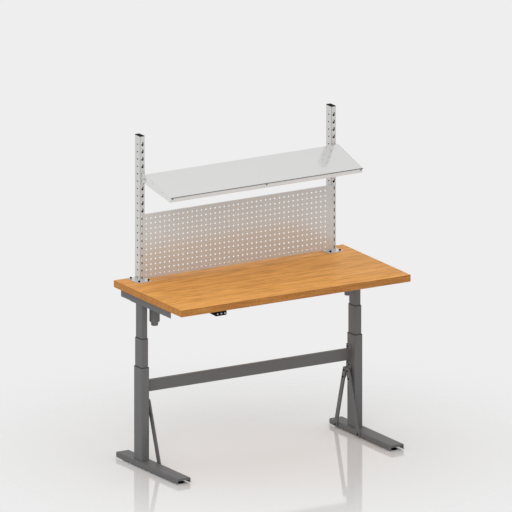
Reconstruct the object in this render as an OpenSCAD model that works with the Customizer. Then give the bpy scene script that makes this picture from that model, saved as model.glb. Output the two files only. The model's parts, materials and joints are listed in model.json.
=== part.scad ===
// Height-adjustable workbench: two telescopic legs, a wooden worktop, two perforated
// uprights behind it, a perforated panel and a tilting shelf.
// Millimetres. X runs left to right, Y front to back, Z up. The origin is on the floor,
// under the middle of the worktop.

/* [Worktop] */
// Width of the worktop, left to right
top_w = 1500; // [1440:10:1800]
// Depth of the worktop, front to back
top_d = 750; // [740:10:900]
// Thickness of the worktop
top_t = 40; // [30:1:50]
// Height of the worktop surface above the floor, as drawn
top_z = 1035; // [960:5:1100]
// Chamfer along the worktop's edges
top_chamfer = 1.5; // [0.5:0.5:4]

/* [Feet] */
// Distance from the worktop's end to the middle of a leg
leg_inset = 53; // [50:1:80]
// Width of a foot
foot_w = 86; // [80:1:100]
// How far a foot reaches forward of the middle of the worktop
foot_front = 314; // [280:2:340]
// How far a foot reaches back from the middle of the worktop
foot_back = 364; // [330:2:370]
// Height of the folded channel that a foot is made of
foot_h = 29.5; // [27:0.5:36]
// Gap under the channel, taken up by the glides
foot_gap = 5.5; // [4:0.5:7]
// Sheet thickness of the feet
foot_t = 3; // [2:0.5:4]
// Length of the flap folded down at each end of a foot
foot_flap = 14; // [8:1:20]
// Diameter of a levelling glide
glide_d = 33; // [26:1:40]
// Height of a glide's disc
glide_h = 8; // [6:0.5:9]
// Distance from a foot's end to the middle of a glide
glide_inset = 32; // [24:1:60]

/* [Columns] */
// Distance of the columns' middle behind the middle of the worktop
col_y = 155; // [130:1:180]
// Outer tube, left to right
outer_w = 52; // [50:1:60]
// Outer tube, front to back
outer_d = 85; // [83:1:95]
// Length of the outer tube
outer_len = 540; // [520:5:560]
// Middle tube, left to right
mid_w = 44; // [42:0.5:45]
// Middle tube, front to back
mid_d = 75; // [73:0.5:77]
// Length of the middle tube
mid_len = 520; // [480:5:530]
// Inner tube, left to right
inner_w = 37; // [35.5:0.5:37.5]
// Inner tube, front to back
inner_d = 67; // [64:0.5:68]
// Length of the inner tube
inner_len = 500; // [480:5:530]
// Wall of the column tubes
tube_wall = 2; // [1.5:0.1:2.2]
// Corner radius of the outer tube
tube_r = 5; // [4:0.5:7]
// Share of the shown height of the two moving tubes that belongs to the middle one
mid_share = 0.458; // [0.4:0.01:0.55]
// Height of a plastic liner inside a tube's mouth
liner_h = 50; // [30:1:80]
// Thickness of the liner's lip over a tube's mouth
lip_t = 1.5; // [1:0.5:3]
// Clearance between a liner and the tube that slides in it
slide_gap = 0.05; // [0.02:0.01:0.1]

/* [Lifting screws] */
// Diameter of the spindle that hangs from a gearbox
spindle_d = 12; // [10:0.5:12]
// Length of that spindle below the gearbox
spindle_len = 430; // [410:5:470]
// Outer diameter of the hollow screw
screw_d = 19; // [18:0.5:20]
// Length of the hollow screw
screw_len = 430; // [400:5:440]
// Outer diameter of the nut post on a column's base
post_d = 25; // [24:0.5:25.5]
// Height of the top of the nut post above the column's base plate
post_h = 465; // [440:5:468]
// Outer diameter of the carrier tube of the middle stage
carrier_d = 30; // [29:0.5:31]
// Height of the carrier tube above the foot of the middle tube
carrier_h = 480; // [470:5:490]
// Thickness of the column's base plate and of the plate in the middle tube
plate_t = 8; // [6:1:12]
// Height of a nut
nut_h = 24; // [16:1:30]

/* [Crossbar and braces] */
// Height of the crossbar's section
bar_h = 65; // [55:1:75]
// Thickness of the crossbar's section
bar_d = 30; // [25:1:34]
// Height of the middle of the crossbar above the floor
bar_z = 452; // [430:2:470]
// Distance of the crossbar's middle behind the columns' middle
bar_set = 27; // [24:1:27]
// Wall of the crossbar
bar_wall = 2; // [1.5:0.5:3]
// Height of the end plates of the crossbar
bar_plate_h = 124; // [120:1:134]
// Width of the end plates of the crossbar
bar_plate_w = 54; // [50:1:56]
// Thickness of the end plates of the crossbar
bar_plate_t = 4; // [3:0.5:6]
// Thickness of the gusset that holds the braces
gusset_t = 4; // [3:0.5:5]
// Width of a brace
brace_w = 30; // [24:0.5:30]
// Thickness of a brace
brace_t = 8; // [4:0.5:8]
// Height of a brace's foot bolt above the floor
brace_foot_z = 20.5; // [20:0.5:21]
// How far in front of the columns' middle the front brace stands
brace_front = 118; // [100:1:130]
// How far behind the columns' middle the back brace stands
brace_back = 131; // [110:1:160]
// Height of the middle of the top ends of the braces
brace_top_z = 366; // [360:1:368]

/* [Under the worktop] */
// Width of a top rail
rail_w = 60; // [56:1:64]
// Height of a top rail's outer flange
rail_h = 49; // [46:1:54]
// Sheet thickness of the top rails
rail_t = 3; // [2:0.5:4]
// How far a top rail reaches forward of the middle of the worktop
rail_front = 209; // [190:1:240]
// How far a top rail reaches back from the middle of the worktop
rail_back = 339; // [330:1:350]
// Height of the stiffening lip on a top rail's inner edge
rail_lip = 12; // [6:1:12]
// Height of a gearbox
gearbox_h = 38; // [34:1:38]
// How far a gearbox's underside hangs below its top rail
gearbox_drop = 4; // [2:0.5:8]
// Distance of a motor's middle from its column's middle, towards the bench's middle
motor_set = 65; // [60:1:80]
// Distance of a motor's middle in front of its column's middle
motor_front = 34; // [20:1:45]
// Diameter of a motor's housing
motor_d = 60; // [50:1:64]
// Length of a motor's housing below the gearbox
motor_h = 97; // [90:1:120]
// Diameter of a motor's end cap
motor_cap_d = 41; // [34:1:44]
// Length of a motor's end cap
motor_cap_h = 17; // [14:1:26]

/* [Control box and handset] */
// Width of the control box
box_w = 260; // [240:5:300]
// Depth of the control box
box_d = 105; // [90:5:130]
// Height of the control box
box_h = 36; // [34:1:44]
// Width of the handset
handset_w = 72; // [72:1:90]
// Depth of the handset
handset_d = 82; // [72:1:90]
// Height of the handset
handset_h = 29; // [26:1:34]
// Distance from the worktop's left end to the middle of the handset
handset_inset = 264; // [230:2:400]
// How far the handset's front stays behind the worktop's front edge
handset_back = 4; // [2:1:10]
// Diameter of a button
button_d = 10; // [8:0.5:11]
// Spacing of the buttons
button_step = 24; // [17:0.5:24]
// Travel of a button
button_travel = 1.5; // [1:0.1:2]

/* [Uprights] */
// Distance from the worktop's end to the middle of an upright
upright_inset = 125; // [120:1:180]
// Distance of the uprights' front faces behind the middle of the worktop
upright_y = 267.5; // [262:0.5:268]
// Width of an upright, left to right
upright_w = 30; // [28:1:36]
// Depth of an upright, front to back
upright_d = 60; // [56:1:62]
// Wall of an upright
upright_wall = 2; // [1.5:0.5:2.5]
// Height of an upright above the worktop
upright_h = 847; // [830:1:900]
// Pitch of the slots
hole_pitch = 43.1; // [43:0.1:44]
// Width of a slot in the sides
side_slot_w = 10.5; // [6:0.5:14]
// Height of a slot in the sides
side_slot_h = 21; // [15:0.5:24]
// Width of a slot in the front and the back
slot_w = 14; // [11:0.5:15]
// Height of a slot in the front and the back
slot_h = 24; // [20:0.5:25]
// Number of slots in a row
hole_count = 19; // [16:1:19]
// Height of the middle of the lowest slots above the worktop
hole_first = 27; // [25:1:30]
// Thickness of the end cap on an upright
cap_t = 3; // [2:0.5:5]
// Width of an upright's base plate, left to right
base_w = 92; // [84:1:100]
// Depth of an upright's base plate, front to back
base_d = 118; // [110:1:122]
// Thickness of an upright's base plate
base_t = 5; // [4:0.5:6]
// Spacing of its bolts, left to right
base_bolt_x = 62; // [56:1:66]
// Spacing of its bolts, front to back
base_bolt_y = 92; // [86:1:96]
// Diameter of the domed heads of its bolts
base_head_d = 15; // [13:0.5:16]
// Height of the domed heads of its bolts
base_head_h = 9; // [8:0.5:10]

/* [Perforated panel] */
// Height of the panel's lower edge above the worktop
panel_lift = 17; // [12:1:24]
// Sheet thickness of the panel
panel_t = 1.5; // [1:0.5:2]
// Pitch of the panel's holes
panel_pitch = 30; // [30:1:31]
// Diameter of the panel's holes
panel_hole_d = 10; // [6:0.5:12]
// Number of holes up the panel
panel_rows = 12; // [8:1:13]
// How far the panel reaches past the middle of an upright
panel_over = 0; // [0:0.5:4]
// Smallest margin from the outer holes' middles to the panel's side edges
panel_side = 25; // [20:0.5:30]
// Margin from the outer holes' middles to the top and bottom edges
panel_edge = 21.5; // [18:0.5:30]
// How far the grid of holes sits below the panel's middle
panel_drop = 4; // [0:0.5:8]
// Depth of the edges folded back at the top and bottom
panel_fold = 12; // [8:1:20]

/* [Shelf] */
// Slope of the shelf as drawn, in degrees
shelf_slope = 15.8; // [0:0.1:25]
// Depth of the shelf along its slope
shelf_d = 280; // [240:5:300]
// Sheet thickness of the shelf
shelf_t = 1.5; // [1:0.1:2]
// Height of the lip folded down at the shelf's front
shelf_lip = 29; // [20:1:32]
// Height of the lip folded down at the shelf's back
shelf_back_lip = 14; // [10:1:18]
// Height of the lips folded down at the shelf's sides
shelf_side_lip = 24; // [23:1:26]
// Number of the slot that holds the shelf's brackets, counted from the lowest
shelf_slot = 13; // [8:1:15]
// Height of the shelf's pivot above that slot's middle
pivot_rise = 18; // [15:1:21]
// Distance of the shelf's pivot in front of the uprights
pivot_front = 27.5; // [25:0.5:30]
// Height of the shelf's surface over its pivot, square to the slope
shelf_rise = 37; // [34:1:40]
// Distance from the pivot to the shelf's back edge, along the slope
shelf_gap = 9.3; // [6:0.1:14]
// Sheet thickness of the shelf's arms
arm_t = 2; // [1.5:0.5:3]
// Radius of an arm's end round the pivot
arm_r = 22; // [18:0.5:23]
// Diameter of the stop rod along the shelf's front edge
rod_d = 4.5; // [4:0.5:8]
// Length of the posts that carry the stop rod
rod_post = 12; // [9:0.5:16]

/* [Hidden] */
$fn = 32;
frame_grey = "#66666a";
sheet_grey = "#cfcfcd";
shelf_grey = "#dcdcda";
zinc = "#b9bcc0";
black = "#1c1c1e";
wood = "#dba05f";
button_grey = "#c9cccf";

// How far a cut runs past the face that it opens
overrun = 1;
// Gap between faces of pieces that move past each other
move_gap = 0.3;
// Radial clearance of a bolt or shaft in a plain hole
bolt_gap = 0.25;
// Radial clearance of a shaft in its bearing or nut
run_gap = 0.05;

// Bolts: radius of the shank, radius of the head and height of the head
m5 = [2.5, 5, 3];
m6 = [3, 5.5, 4];
m8 = [4, 6.5, 5];

leg_x = top_w / 2 - leg_inset;
foot_top = foot_gap + foot_h;
foot_r = 2 * foot_t;
foot_inner_x = leg_x - foot_w / 2;
glide_stem_r = 4;
glide_nut_r = 8;
glide_nut_h = 18;
glide_edge = 1.5;
foot_web_z = foot_top - foot_t;

outer_top = foot_top + outer_len;
tube_r_step = 1;
mid_r = tube_r - tube_r_step;
inner_r = mid_r - tube_r_step;
top_under = top_z - top_t;
rail_under = top_under - rail_t - (rail_h - rail_t);
column_top = rail_under - gearbox_drop;
mid_top = outer_top + (column_top - outer_top) * mid_share;
mid_bottom = mid_top - mid_len;
inner_bottom = column_top - inner_len;
outer_in_w = outer_w - 2 * tube_wall;
outer_in_d = outer_d - 2 * tube_wall;
mid_in_w = mid_w - 2 * tube_wall;
mid_in_d = mid_d - 2 * tube_wall;
outer_in_r = tube_r - tube_wall;
mid_in_r = mid_r - tube_wall;
inner_in_r = inner_r - tube_wall;
slider_h = liner_h / 2;

base_plate_top = foot_top + plate_t;
foot_bolt_x = 15;
foot_bolt_y = 30;
post_wall = 2.5;
collar_h = 8;
ring_h = 3;
carrier_wall = 2;
carrier_top = mid_bottom + carrier_h;
screw_top = carrier_top - nut_h - move_gap;
screw_bore_r = spindle_d / 2 + 2 * bolt_gap;
collar_r = carrier_d / 2 - carrier_wall - move_gap;
spindle_seat = 22;

col_inner_x = leg_x - outer_w / 2;
col_outer_x = leg_x + outer_w / 2;
bar_y = col_y + bar_set;
bar_r = 3;
bar_half = col_inner_x - bar_plate_t;
bar_plate_set = 10;
bar_plate_y = bar_y - bar_plate_set;
bar_plate_r = 4;
bar_bolt_set = 1;
bar_bolt_y = bar_y + bar_bolt_set;
bar_bolt_rise = 45;
bar_bolt_drop = 47;
tab_bolt_set = 19;
tab_bolt_y = bar_y - tab_bolt_set;
tab_bolt_drop = 56;
tab_gap = 4;
tab_top = bar_z - bar_h / 2 - tab_gap;
tab_h = 38;
joggle_h = 12;
gusset_x = foot_inner_x + gusset_t;
gusset_half = 26;
gusset_spread = 50;
gusset_drop = 62;
gusset_notch = 22;
gusset_cut = 8;
gusset_shoulder = 8;
gusset_wing_h = 14;
gusset_wing_w = 12;
gusset_leg_w = 26;
gusset_leg_rise = 2;
brace_meet = 11;
brace_top_half = 16;
brace_bolt_near = 6;
brace_bolt_far = 48;
brace_x = foot_inner_x - brace_t;

rail_x = col_outer_x - rail_w / 2;
rail_r = 2 * rail_t;
gearbox_top = column_top + gearbox_h;
gearbox_rear_len = 90;
gearbox_r = 6;
gearbox_boss_r = 8;
rail_bolt_y = [-30, 70];
motor_x = leg_x - motor_set;
motor_y = col_y - motor_front;
motor_pad = 1;
motor_taper = 12;
motor_bottom = column_top - motor_h;
rail_screw_inset = 20;
screw_depth = 25;

box_x = 120;
box_y = 60;
box_wall = 2.5;
ear_len = 16;
ear_t = 3;
socket_w = 24;
socket_h = 16;
socket_deep = 18;
socket_step = 40;

handset_x = -(top_w / 2 - handset_inset);
handset_y = -(top_d / 2 - handset_back);
handset_wall = 2;
handset_rise = 3;
handset_r = handset_h / 4;
handset_nose = 5;
handset_brim = 6;
handset_screw_inset = 12;
board_t = 1.6;
switch_size = 5;
button_z = top_under - handset_h / 2;
button_flange = 1.2;
button_flange_h = 1.2;
button_proud = 1.2;

upright_x = top_w / 2 - upright_inset;
upright_mid_y = upright_y + upright_d / 2;
upright_r = 3;
upright_bottom = top_z + base_t;
upright_top = top_z + upright_h;
cap_plug = 12;
base_r = 5;
base_bolt_depth = 26;
hole_z0 = top_z + hole_first;

panel_w = 2 * (upright_x + panel_over);
panel_cols = 1 + floor((panel_w - 2 * panel_side) / panel_pitch);
panel_h = (panel_rows - 1) * panel_pitch + 2 * panel_edge;
panel_z = top_z + panel_lift;
panel_hole_fn = 16;
panel_screw_low = 1;
panel_screw_high = 8;
panel_screw_x = upright_x - upright_w / 4;

pivot_y = upright_y - pivot_front;
slot_z = hole_z0 + shelf_slot * hole_pitch;
pivot_z = slot_z + pivot_rise;
shelf_over = 3;
shelf_half = upright_x + shelf_over;
arm_front_h = 28;
arm_back_h = 60;
arm_back_in = 34;
bracket_t = 3;
bracket_gap = 4;
bracket_r = 4;
ear_front = 18;
hook_side = 2;
hook_w = slot_w - 2 * hook_side;
hook_seat = slot_w / 2 - sqrt(pow(slot_w / 2, 2) - pow(hook_w / 2, 2)) + move_gap;
hook_h = 12;
hook_deep = 3;
shelf_screw_shares = [0.28, 0.66];
shelf_screw_drop = 17;

// A piece drawn on the right, moved to the left where side is -1
module on_side(side) {
    mirror([side < 0 ? 1 : 0, 0, 0]) children();
}

module both_sides() {
    for (side = [-1, 1]) on_side(side) children();
}

// A rectangle with round corners, about the origin
module rounded(w, d, r) {
    square([w - 2 * r, d], center = true);
    square([w, d - 2 * r], center = true);
    for (x = [-1, 1], y = [-1, 1])
        translate([x * (w / 2 - r), y * (d / 2 - r)]) circle(r);
}

// The space between two such rectangles
module ring(w, d, r, w_in, d_in, r_in) {
    difference() {
        rounded(w, d, r);
        rounded(w_in, d_in, r_in);
    }
}

// A folded channel's section, open below, with its foot on the X axis
module channel(w, h, r, t, left_h, right_h) {
    difference() {
        union() {
            translate([-w / 2 + r, 0]) square([w - 2 * r, h]);
            translate([-w / 2, 0]) square([w, h - r]);
            for (x = [-1, 1]) translate([x * (w / 2 - r), h - r]) circle(r);
        }
        translate([-w / 2 + t, -overrun]) square([w - 2 * t, h - r + overrun]);
        translate([-w / 2 + r, 0]) square([w - 2 * r, h - t]);
        for (x = [-1, 1]) translate([x * (w / 2 - r), h - r]) circle(r - t);
        translate([-w / 2 - overrun, -overrun]) square([t + 2 * overrun, h - left_h + overrun]);
        translate([w / 2 - t - overrun, -overrun]) square([t + 2 * overrun, h - right_h + overrun]);
    }
}

// A solid along Y, from a section drawn with X across and Y up
module along_y(start, end) {
    translate([0, end, 0]) rotate([90, 0, 0]) linear_extrude(end - start) children();
}

// A solid along X, from a section drawn with Y to the back and Z up
module along_x(start, end) {
    translate([start, 0, 0]) rotate([90, 0, 90]) linear_extrude(end - start) children();
}

// A rod along X
module rod_x(start, end, r) {
    translate([start, 0, 0]) rotate([0, 90, 0]) cylinder(h = end - start, r = r);
}

// A rod along Y
module rod_y(start, end, r) {
    translate([0, end, 0]) rotate([90, 0, 0]) cylinder(h = end - start, r = r);
}

// A bolt under a plate: its head hangs below the origin and its shank stands above it
module bolt_up(size, shank) {
    translate([0, 0, -size[2]]) cylinder(h = size[2], r = size[1]);
    cylinder(h = shank, r = size[0]);
}

// A bolt along X with its head towards the bench's middle
module bolt_out(size, shank) {
    rod_x(-size[2], 0, size[1]);
    rod_x(0, shank, size[0]);
}

// A hexagon nut along X
module nut_out(size) {
    rotate([0, 90, 0]) difference() {
        cylinder(h = size[2], r = size[1], $fn = 6);
        translate([0, 0, -overrun]) cylinder(h = size[2] + 2 * overrun, r = size[0]);
    }
}

function glide_y(end) = end < 0 ? -foot_front + glide_inset : foot_back - glide_inset;

module foot() color(frame_grey) difference() {
    union() {
        translate([leg_x, 0, foot_gap])
            along_y(-foot_front, foot_back) channel(foot_w, foot_h, foot_r, foot_t, foot_h, foot_h);
        for (y = [-foot_front + foot_t, foot_back - 2 * foot_t])
            translate([leg_x - foot_w / 2 + foot_t, y, foot_top - foot_flap])
                cube([foot_w - 2 * foot_t, foot_t, foot_flap - foot_t]);
    }
    for (x = [-foot_bolt_x, foot_bolt_x], y = [-foot_bolt_y, foot_bolt_y])
        translate([leg_x + x, col_y + y, foot_web_z - overrun])
            cylinder(h = foot_t + 2 * overrun, r = m8[0] + bolt_gap);
    for (y = [col_y - brace_front, col_y + brace_back])
        translate([0, y, brace_foot_z])
            rod_x(foot_inner_x - overrun, foot_inner_x + foot_t + overrun, m6[0] + bolt_gap);
}

module glide(side, end) color(black) on_side(side) translate([leg_x, glide_y(end), 0]) {
    rotate_extrude() polygon([
        [0, 0], [glide_d / 2 - glide_edge, 0], [glide_d / 2, glide_edge],
        [glide_d / 2, glide_h - 2 * glide_edge], [glide_d / 2 - 2 * glide_edge, glide_h],
        [0, glide_h]
    ]);
    cylinder(h = foot_web_z - move_gap, r = glide_stem_r);
}

module foot_glide_nuts() color(zinc) both_sides() for (end = [-1, 1])
    translate([leg_x, glide_y(end), foot_web_z - glide_nut_h]) difference() {
        cylinder(h = glide_nut_h, r = glide_nut_r);
        translate([0, 0, -overrun])
            cylinder(h = glide_nut_h + 2 * overrun, r = glide_stem_r + run_gap);
    }

module column_base_plates() color(frame_grey) both_sides()
    translate([leg_x, col_y, foot_top]) difference() {
        linear_extrude(plate_t) rounded(outer_in_w, outer_in_d, outer_in_r);
        for (x = [-foot_bolt_x, foot_bolt_x], y = [-foot_bolt_y, foot_bolt_y])
            translate([x, y, -overrun]) cylinder(h = plate_t + 2 * overrun, r = m8[0] + run_gap);
    }

module foot_bolts() color(zinc) both_sides()
    for (x = [-foot_bolt_x, foot_bolt_x], y = [-foot_bolt_y, foot_bolt_y])
        translate([leg_x + x, col_y + y, foot_web_z]) bolt_up(m8, foot_t + plate_t);

module outer_tube() color(frame_grey) difference() {
    translate([leg_x, col_y, foot_top]) linear_extrude(outer_len)
        ring(outer_w, outer_d, tube_r, outer_in_w, outer_in_d, outer_in_r);
    for (p = bar_bolts()) translate([0, p[0], p[1]])
        rod_x(col_inner_x - overrun, col_inner_x + tube_wall + overrun, m6[0] + bolt_gap);
}

module outer_tube_liners() color(black) both_sides() translate([leg_x, col_y, 0])
    liner(outer_w, outer_d, tube_r, outer_in_w, outer_in_d, outer_in_r, mid_w, mid_d, mid_r, outer_top);

// A liner inside a tube's mouth, with a lip over the tube's end
module liner(w, d, r, w_in, d_in, r_in, w_slide, d_slide, r_slide, top) {
    bore_w = w_slide + 2 * slide_gap;
    bore_d = d_slide + 2 * slide_gap;
    translate([0, 0, top - liner_h]) linear_extrude(liner_h + lip_t)
        ring(w_in, d_in, r_in, bore_w, bore_d, r_slide + slide_gap);
    translate([0, 0, top]) linear_extrude(lip_t)
        ring(w, d, r, bore_w, bore_d, r_slide + slide_gap);
}

// A slider round the lower end of a tube, running inside the next tube
module slider(w, d, r, w_out, d_out, r_out, bottom) {
    translate([0, 0, bottom]) linear_extrude(slider_h)
        ring(w_out - 2 * slide_gap, d_out - 2 * slide_gap, r_out - slide_gap, w, d, r);
}

module nut_posts() color(zinc) both_sides() translate([leg_x, col_y, base_plate_top])
    rotate_extrude() polygon([
        [post_d / 2 - post_wall, 0], [post_d / 2, 0], [post_d / 2, post_h],
        [screw_d / 2 + run_gap, post_h], [screw_d / 2 + run_gap, post_h - nut_h],
        [post_d / 2 - post_wall, post_h - nut_h]
    ]);

module middle_tube() color(frame_grey) translate([leg_x, col_y, mid_bottom])
    linear_extrude(mid_len) ring(mid_w, mid_d, mid_r, mid_in_w, mid_in_d, mid_in_r);

module middle_sliders() color(black) translate([leg_x, col_y, 0]) {
    liner(mid_w, mid_d, mid_r, mid_in_w, mid_in_d, mid_in_r, inner_w, inner_d, inner_r, mid_top);
    slider(mid_w, mid_d, mid_r, outer_in_w, outer_in_d, outer_in_r, mid_bottom);
}

// The plate in the middle tube's foot, with the tube and the nut that it carries
module screw_carrier() color(zinc) translate([leg_x, col_y, 0]) {
    bore_r = carrier_d / 2 - carrier_wall;
    ring_z = screw_top - collar_h - move_gap - ring_h;
    translate([0, 0, mid_bottom]) difference() {
        linear_extrude(plate_t) rounded(mid_in_w, mid_in_d, mid_in_r);
        translate([0, 0, -overrun]) cylinder(h = plate_t + 2 * overrun, r = bore_r);
    }
    rotate_extrude() polygon([
        [bore_r, mid_bottom], [carrier_d / 2, mid_bottom], [carrier_d / 2, carrier_top],
        [spindle_d / 2 + run_gap, carrier_top],
        [spindle_d / 2 + run_gap, carrier_top - nut_h], [bore_r, carrier_top - nut_h],
        [bore_r, ring_z + ring_h], [screw_d / 2 + bolt_gap, ring_z + ring_h],
        [screw_d / 2 + bolt_gap, ring_z], [bore_r, ring_z]
    ]);
}

module hollow_screw() color(zinc) translate([leg_x, col_y, 0]) rotate_extrude() polygon([
    [screw_bore_r, screw_top - screw_len], [screw_d / 2, screw_top - screw_len],
    [screw_d / 2, screw_top - collar_h], [collar_r, screw_top - collar_h],
    [collar_r, screw_top], [screw_bore_r, screw_top]
]);

module spindle() color(zinc) translate([leg_x, col_y, column_top - spindle_len])
    cylinder(h = spindle_len + spindle_seat, r = spindle_d / 2);

module inner_tube() color(frame_grey) translate([leg_x, col_y, inner_bottom])
    linear_extrude(inner_len)
        ring(inner_w, inner_d, inner_r, inner_w - 2 * tube_wall, inner_d - 2 * tube_wall, inner_in_r);

module inner_tube_sliders() color(black) both_sides() translate([leg_x, col_y, 0])
    slider(inner_w, inner_d, inner_r, mid_in_w, mid_in_d, mid_in_r, inner_bottom);

// Where the crossbar's end plate is bolted to a column: Y and Z
function bar_bolts() = [
    [bar_bolt_y, bar_z + bar_bolt_rise], [bar_bolt_y, bar_z - bar_bolt_drop],
    [tab_bolt_y, bar_z - tab_bolt_drop]
];

module crossbar() color(frame_grey) {
    translate([0, bar_y, bar_z]) along_x(-bar_half, bar_half)
        ring(bar_d, bar_h, bar_r, bar_d - 2 * bar_wall, bar_h - 2 * bar_wall, bar_r - bar_wall);
    both_sides() difference() {
        translate([0, bar_plate_y, bar_z - bar_bolt_drop + bar_bolt_rise])
            along_x(bar_half, col_inner_x) rounded(bar_plate_w, bar_plate_h, bar_plate_r);
        for (p = bar_bolts()) translate([0, p[0], p[1]])
            rod_x(bar_half - overrun, col_inner_x + overrun, m6[0] + bolt_gap);
    }
}

module crossbar_bolts() color(black) both_sides() {
    deep = bar_plate_t + tube_wall + tube_wall / 2;
    translate([bar_half, bar_bolts()[0][0], bar_bolts()[0][1]]) bolt_out(m6, deep);
    for (p = [bar_bolts()[1], bar_bolts()[2]])
        translate([bar_half - gusset_t, p[0], p[1]]) bolt_out(m6, deep + gusset_t);
}

// The slope of a brace from its foot bolt to its top end, as Y per Z
function lean(foot_y, top_y) = (top_y - foot_y) / (brace_top_z - brace_foot_z);
// A point on a brace's middle line, at a distance below its top end
function brace_point(foot_y, top_y, drop) =
    [top_y - drop * lean(foot_y, top_y), brace_top_z - drop];

front_line = [col_y - brace_front, bar_y - brace_top_half - brace_meet];
back_line = [col_y + brace_back, bar_y + brace_top_half - brace_meet];

function brace_head_bolts() = [
    for (line = [front_line, back_line], drop = [brace_bolt_near, brace_bolt_far])
        brace_point(line[0], line[1], drop)
];

// A side of the gusset's outline is +1 or -1, and its points run down from the shoulder
function gusset_leg(side) = [
    [side * gusset_half, brace_top_z + gusset_shoulder],
    [side * gusset_spread, brace_top_z - gusset_drop + gusset_wing_h],
    [side * (gusset_spread - gusset_wing_w), brace_top_z - gusset_drop],
    [side * (gusset_spread - gusset_leg_w), brace_top_z - gusset_drop + gusset_leg_rise]
];

module gusset_outline() translate([bar_y - brace_meet, 0]) polygon(concat(
    [[-gusset_half, tab_top], [gusset_half - gusset_cut, tab_top]],
    gusset_leg(1), [[0, brace_top_z - gusset_notch]], [for (i = [3 : -1 : 0]) gusset_leg(-1)[i]]
));

// The gusset's tab lies on the end plate, and its lower part in the plane of the foot's flange
module brace_gussets() color(frame_grey) both_sides() difference() {
    intersection() {
        along_x(foot_inner_x - gusset_t, col_inner_x) gusset_outline();
        along_y(col_y - foot_w, col_y + brace_back) polygon([
            [bar_half - gusset_t, tab_top], [bar_half, tab_top],
            [bar_half, tab_top - tab_h + gusset_t / 2],
            [foot_inner_x + gusset_t, tab_top - tab_h - joggle_h],
            [foot_inner_x + gusset_t, brace_top_z - gusset_drop - overrun],
            [foot_inner_x, brace_top_z - gusset_drop - overrun],
            [foot_inner_x, tab_top - tab_h - joggle_h + gusset_t / 2],
            [bar_half - gusset_t, tab_top - tab_h + gusset_t]
        ]);
    }
    for (p = [bar_bolts()[1], bar_bolts()[2]]) translate([0, p[0], p[1]])
        rod_x(bar_half - gusset_t - overrun, bar_half + overrun, m6[0] + bolt_gap);
    for (p = brace_head_bolts()) translate([0, p[0], p[1]])
        rod_x(foot_inner_x - overrun, gusset_x + overrun, m6[0] + bolt_gap);
}

// A flat bar with round ends from a foot's flange up to the gusset
module brace(line) {
    foot_y = line[0];
    top_y = line[1];
    tilt = atan(lean(foot_y, top_y));
    reach = (brace_top_z - brace_foot_z) / cos(tilt);
    difference() {
        along_x(brace_x, foot_inner_x) translate([foot_y, brace_foot_z]) rotate(-tilt) {
            translate([-brace_w / 2, 0]) square([brace_w, reach]);
            circle(brace_w / 2);
            translate([0, reach]) circle(brace_w / 2);
        }
        for (drop = [brace_bolt_near, brace_bolt_far, brace_top_z - brace_foot_z]) {
            p = brace_point(foot_y, top_y, drop);
            translate([0, p[0], p[1]])
                rod_x(brace_x - overrun, foot_inner_x + overrun, m6[0] + bolt_gap);
        }
    }
}

module front_braces() color(frame_grey) both_sides() brace(front_line);
module back_braces() color(frame_grey) both_sides() brace(back_line);

module brace_bolts() color(black) both_sides() {
    for (p = brace_head_bolts()) translate([0, p[0], p[1]]) {
        translate([brace_x, 0, 0]) bolt_out(m6, brace_t + gusset_t + m6[2]);
        translate([gusset_x, 0, 0]) nut_out(m6);
    }
    for (y = [front_line[0], back_line[0]]) translate([0, y, brace_foot_z]) {
        translate([brace_x, 0, 0]) bolt_out(m6, brace_t + foot_t + m6[2]);
        translate([foot_inner_x + foot_t, 0, 0]) nut_out(m6);
    }
}

function rail_screw_y() = [-rail_front + rail_screw_inset, 0, rail_back - rail_screw_inset];

module top_rail() color(frame_grey) difference() {
    translate([rail_x, 0, rail_under])
        along_y(-rail_front, rail_back) channel(rail_w, rail_h, rail_r, rail_t, rail_lip, rail_h);
    for (y = rail_screw_y()) translate([rail_x, y, top_under - rail_t - overrun])
        cylinder(h = rail_t + 2 * overrun, r = m6[0] + bolt_gap);
    for (y = rail_bolt_y) translate([rail_x, col_y + y, top_under - rail_t - overrun])
        cylinder(h = rail_t + 2 * overrun, r = m8[0] + bolt_gap);
}

module gearbox() color(frame_grey) difference() {
    block_w = rail_w - 2 * rail_t - move_gap;
    block_y = [motor_y - motor_d / 2, col_y + gearbox_rear_len];
    union() {
        translate([rail_x, (block_y[0] + block_y[1]) / 2, column_top]) linear_extrude(gearbox_h)
            rounded(block_w, block_y[1] - block_y[0], gearbox_r);
        translate([motor_x, motor_y, column_top]) cylinder(h = gearbox_h, r = motor_d / 2 + motor_pad);
        translate([motor_x, motor_y - motor_d / 2 - motor_pad, column_top])
            cube([rail_x - motor_x, motor_d + 2 * motor_pad, gearbox_h]);
        for (y = rail_bolt_y) translate([rail_x, col_y + y, gearbox_top])
            cylinder(h = top_under - rail_t - gearbox_top, r = gearbox_boss_r);
    }
    translate([leg_x, col_y, column_top - overrun])
        cylinder(h = spindle_seat + move_gap + overrun, r = spindle_d / 2 + run_gap);
    for (y = rail_bolt_y) translate([rail_x, col_y + y, column_top - overrun]) {
        cylinder(h = m8[2] + 2 * overrun, r = m8[1] + bolt_gap);
        cylinder(h = top_under - column_top, r = m8[0] + bolt_gap);
    }
}

// The bolts run up through the gearbox and the rail, into the worktop
module gearbox_bolts() color(zinc) both_sides() for (y = rail_bolt_y)
    translate([rail_x, col_y + y, column_top + m8[2] + overrun])
        bolt_up(m8, top_under - column_top - m8[2] + screw_depth / 2);

module motor() color(frame_grey) translate([motor_x, motor_y, motor_bottom]) {
    cylinder(h = motor_h, r = motor_d / 2);
    translate([0, 0, -motor_taper])
        cylinder(h = motor_taper, r1 = motor_cap_d / 2, r2 = motor_d / 2);
}

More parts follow.
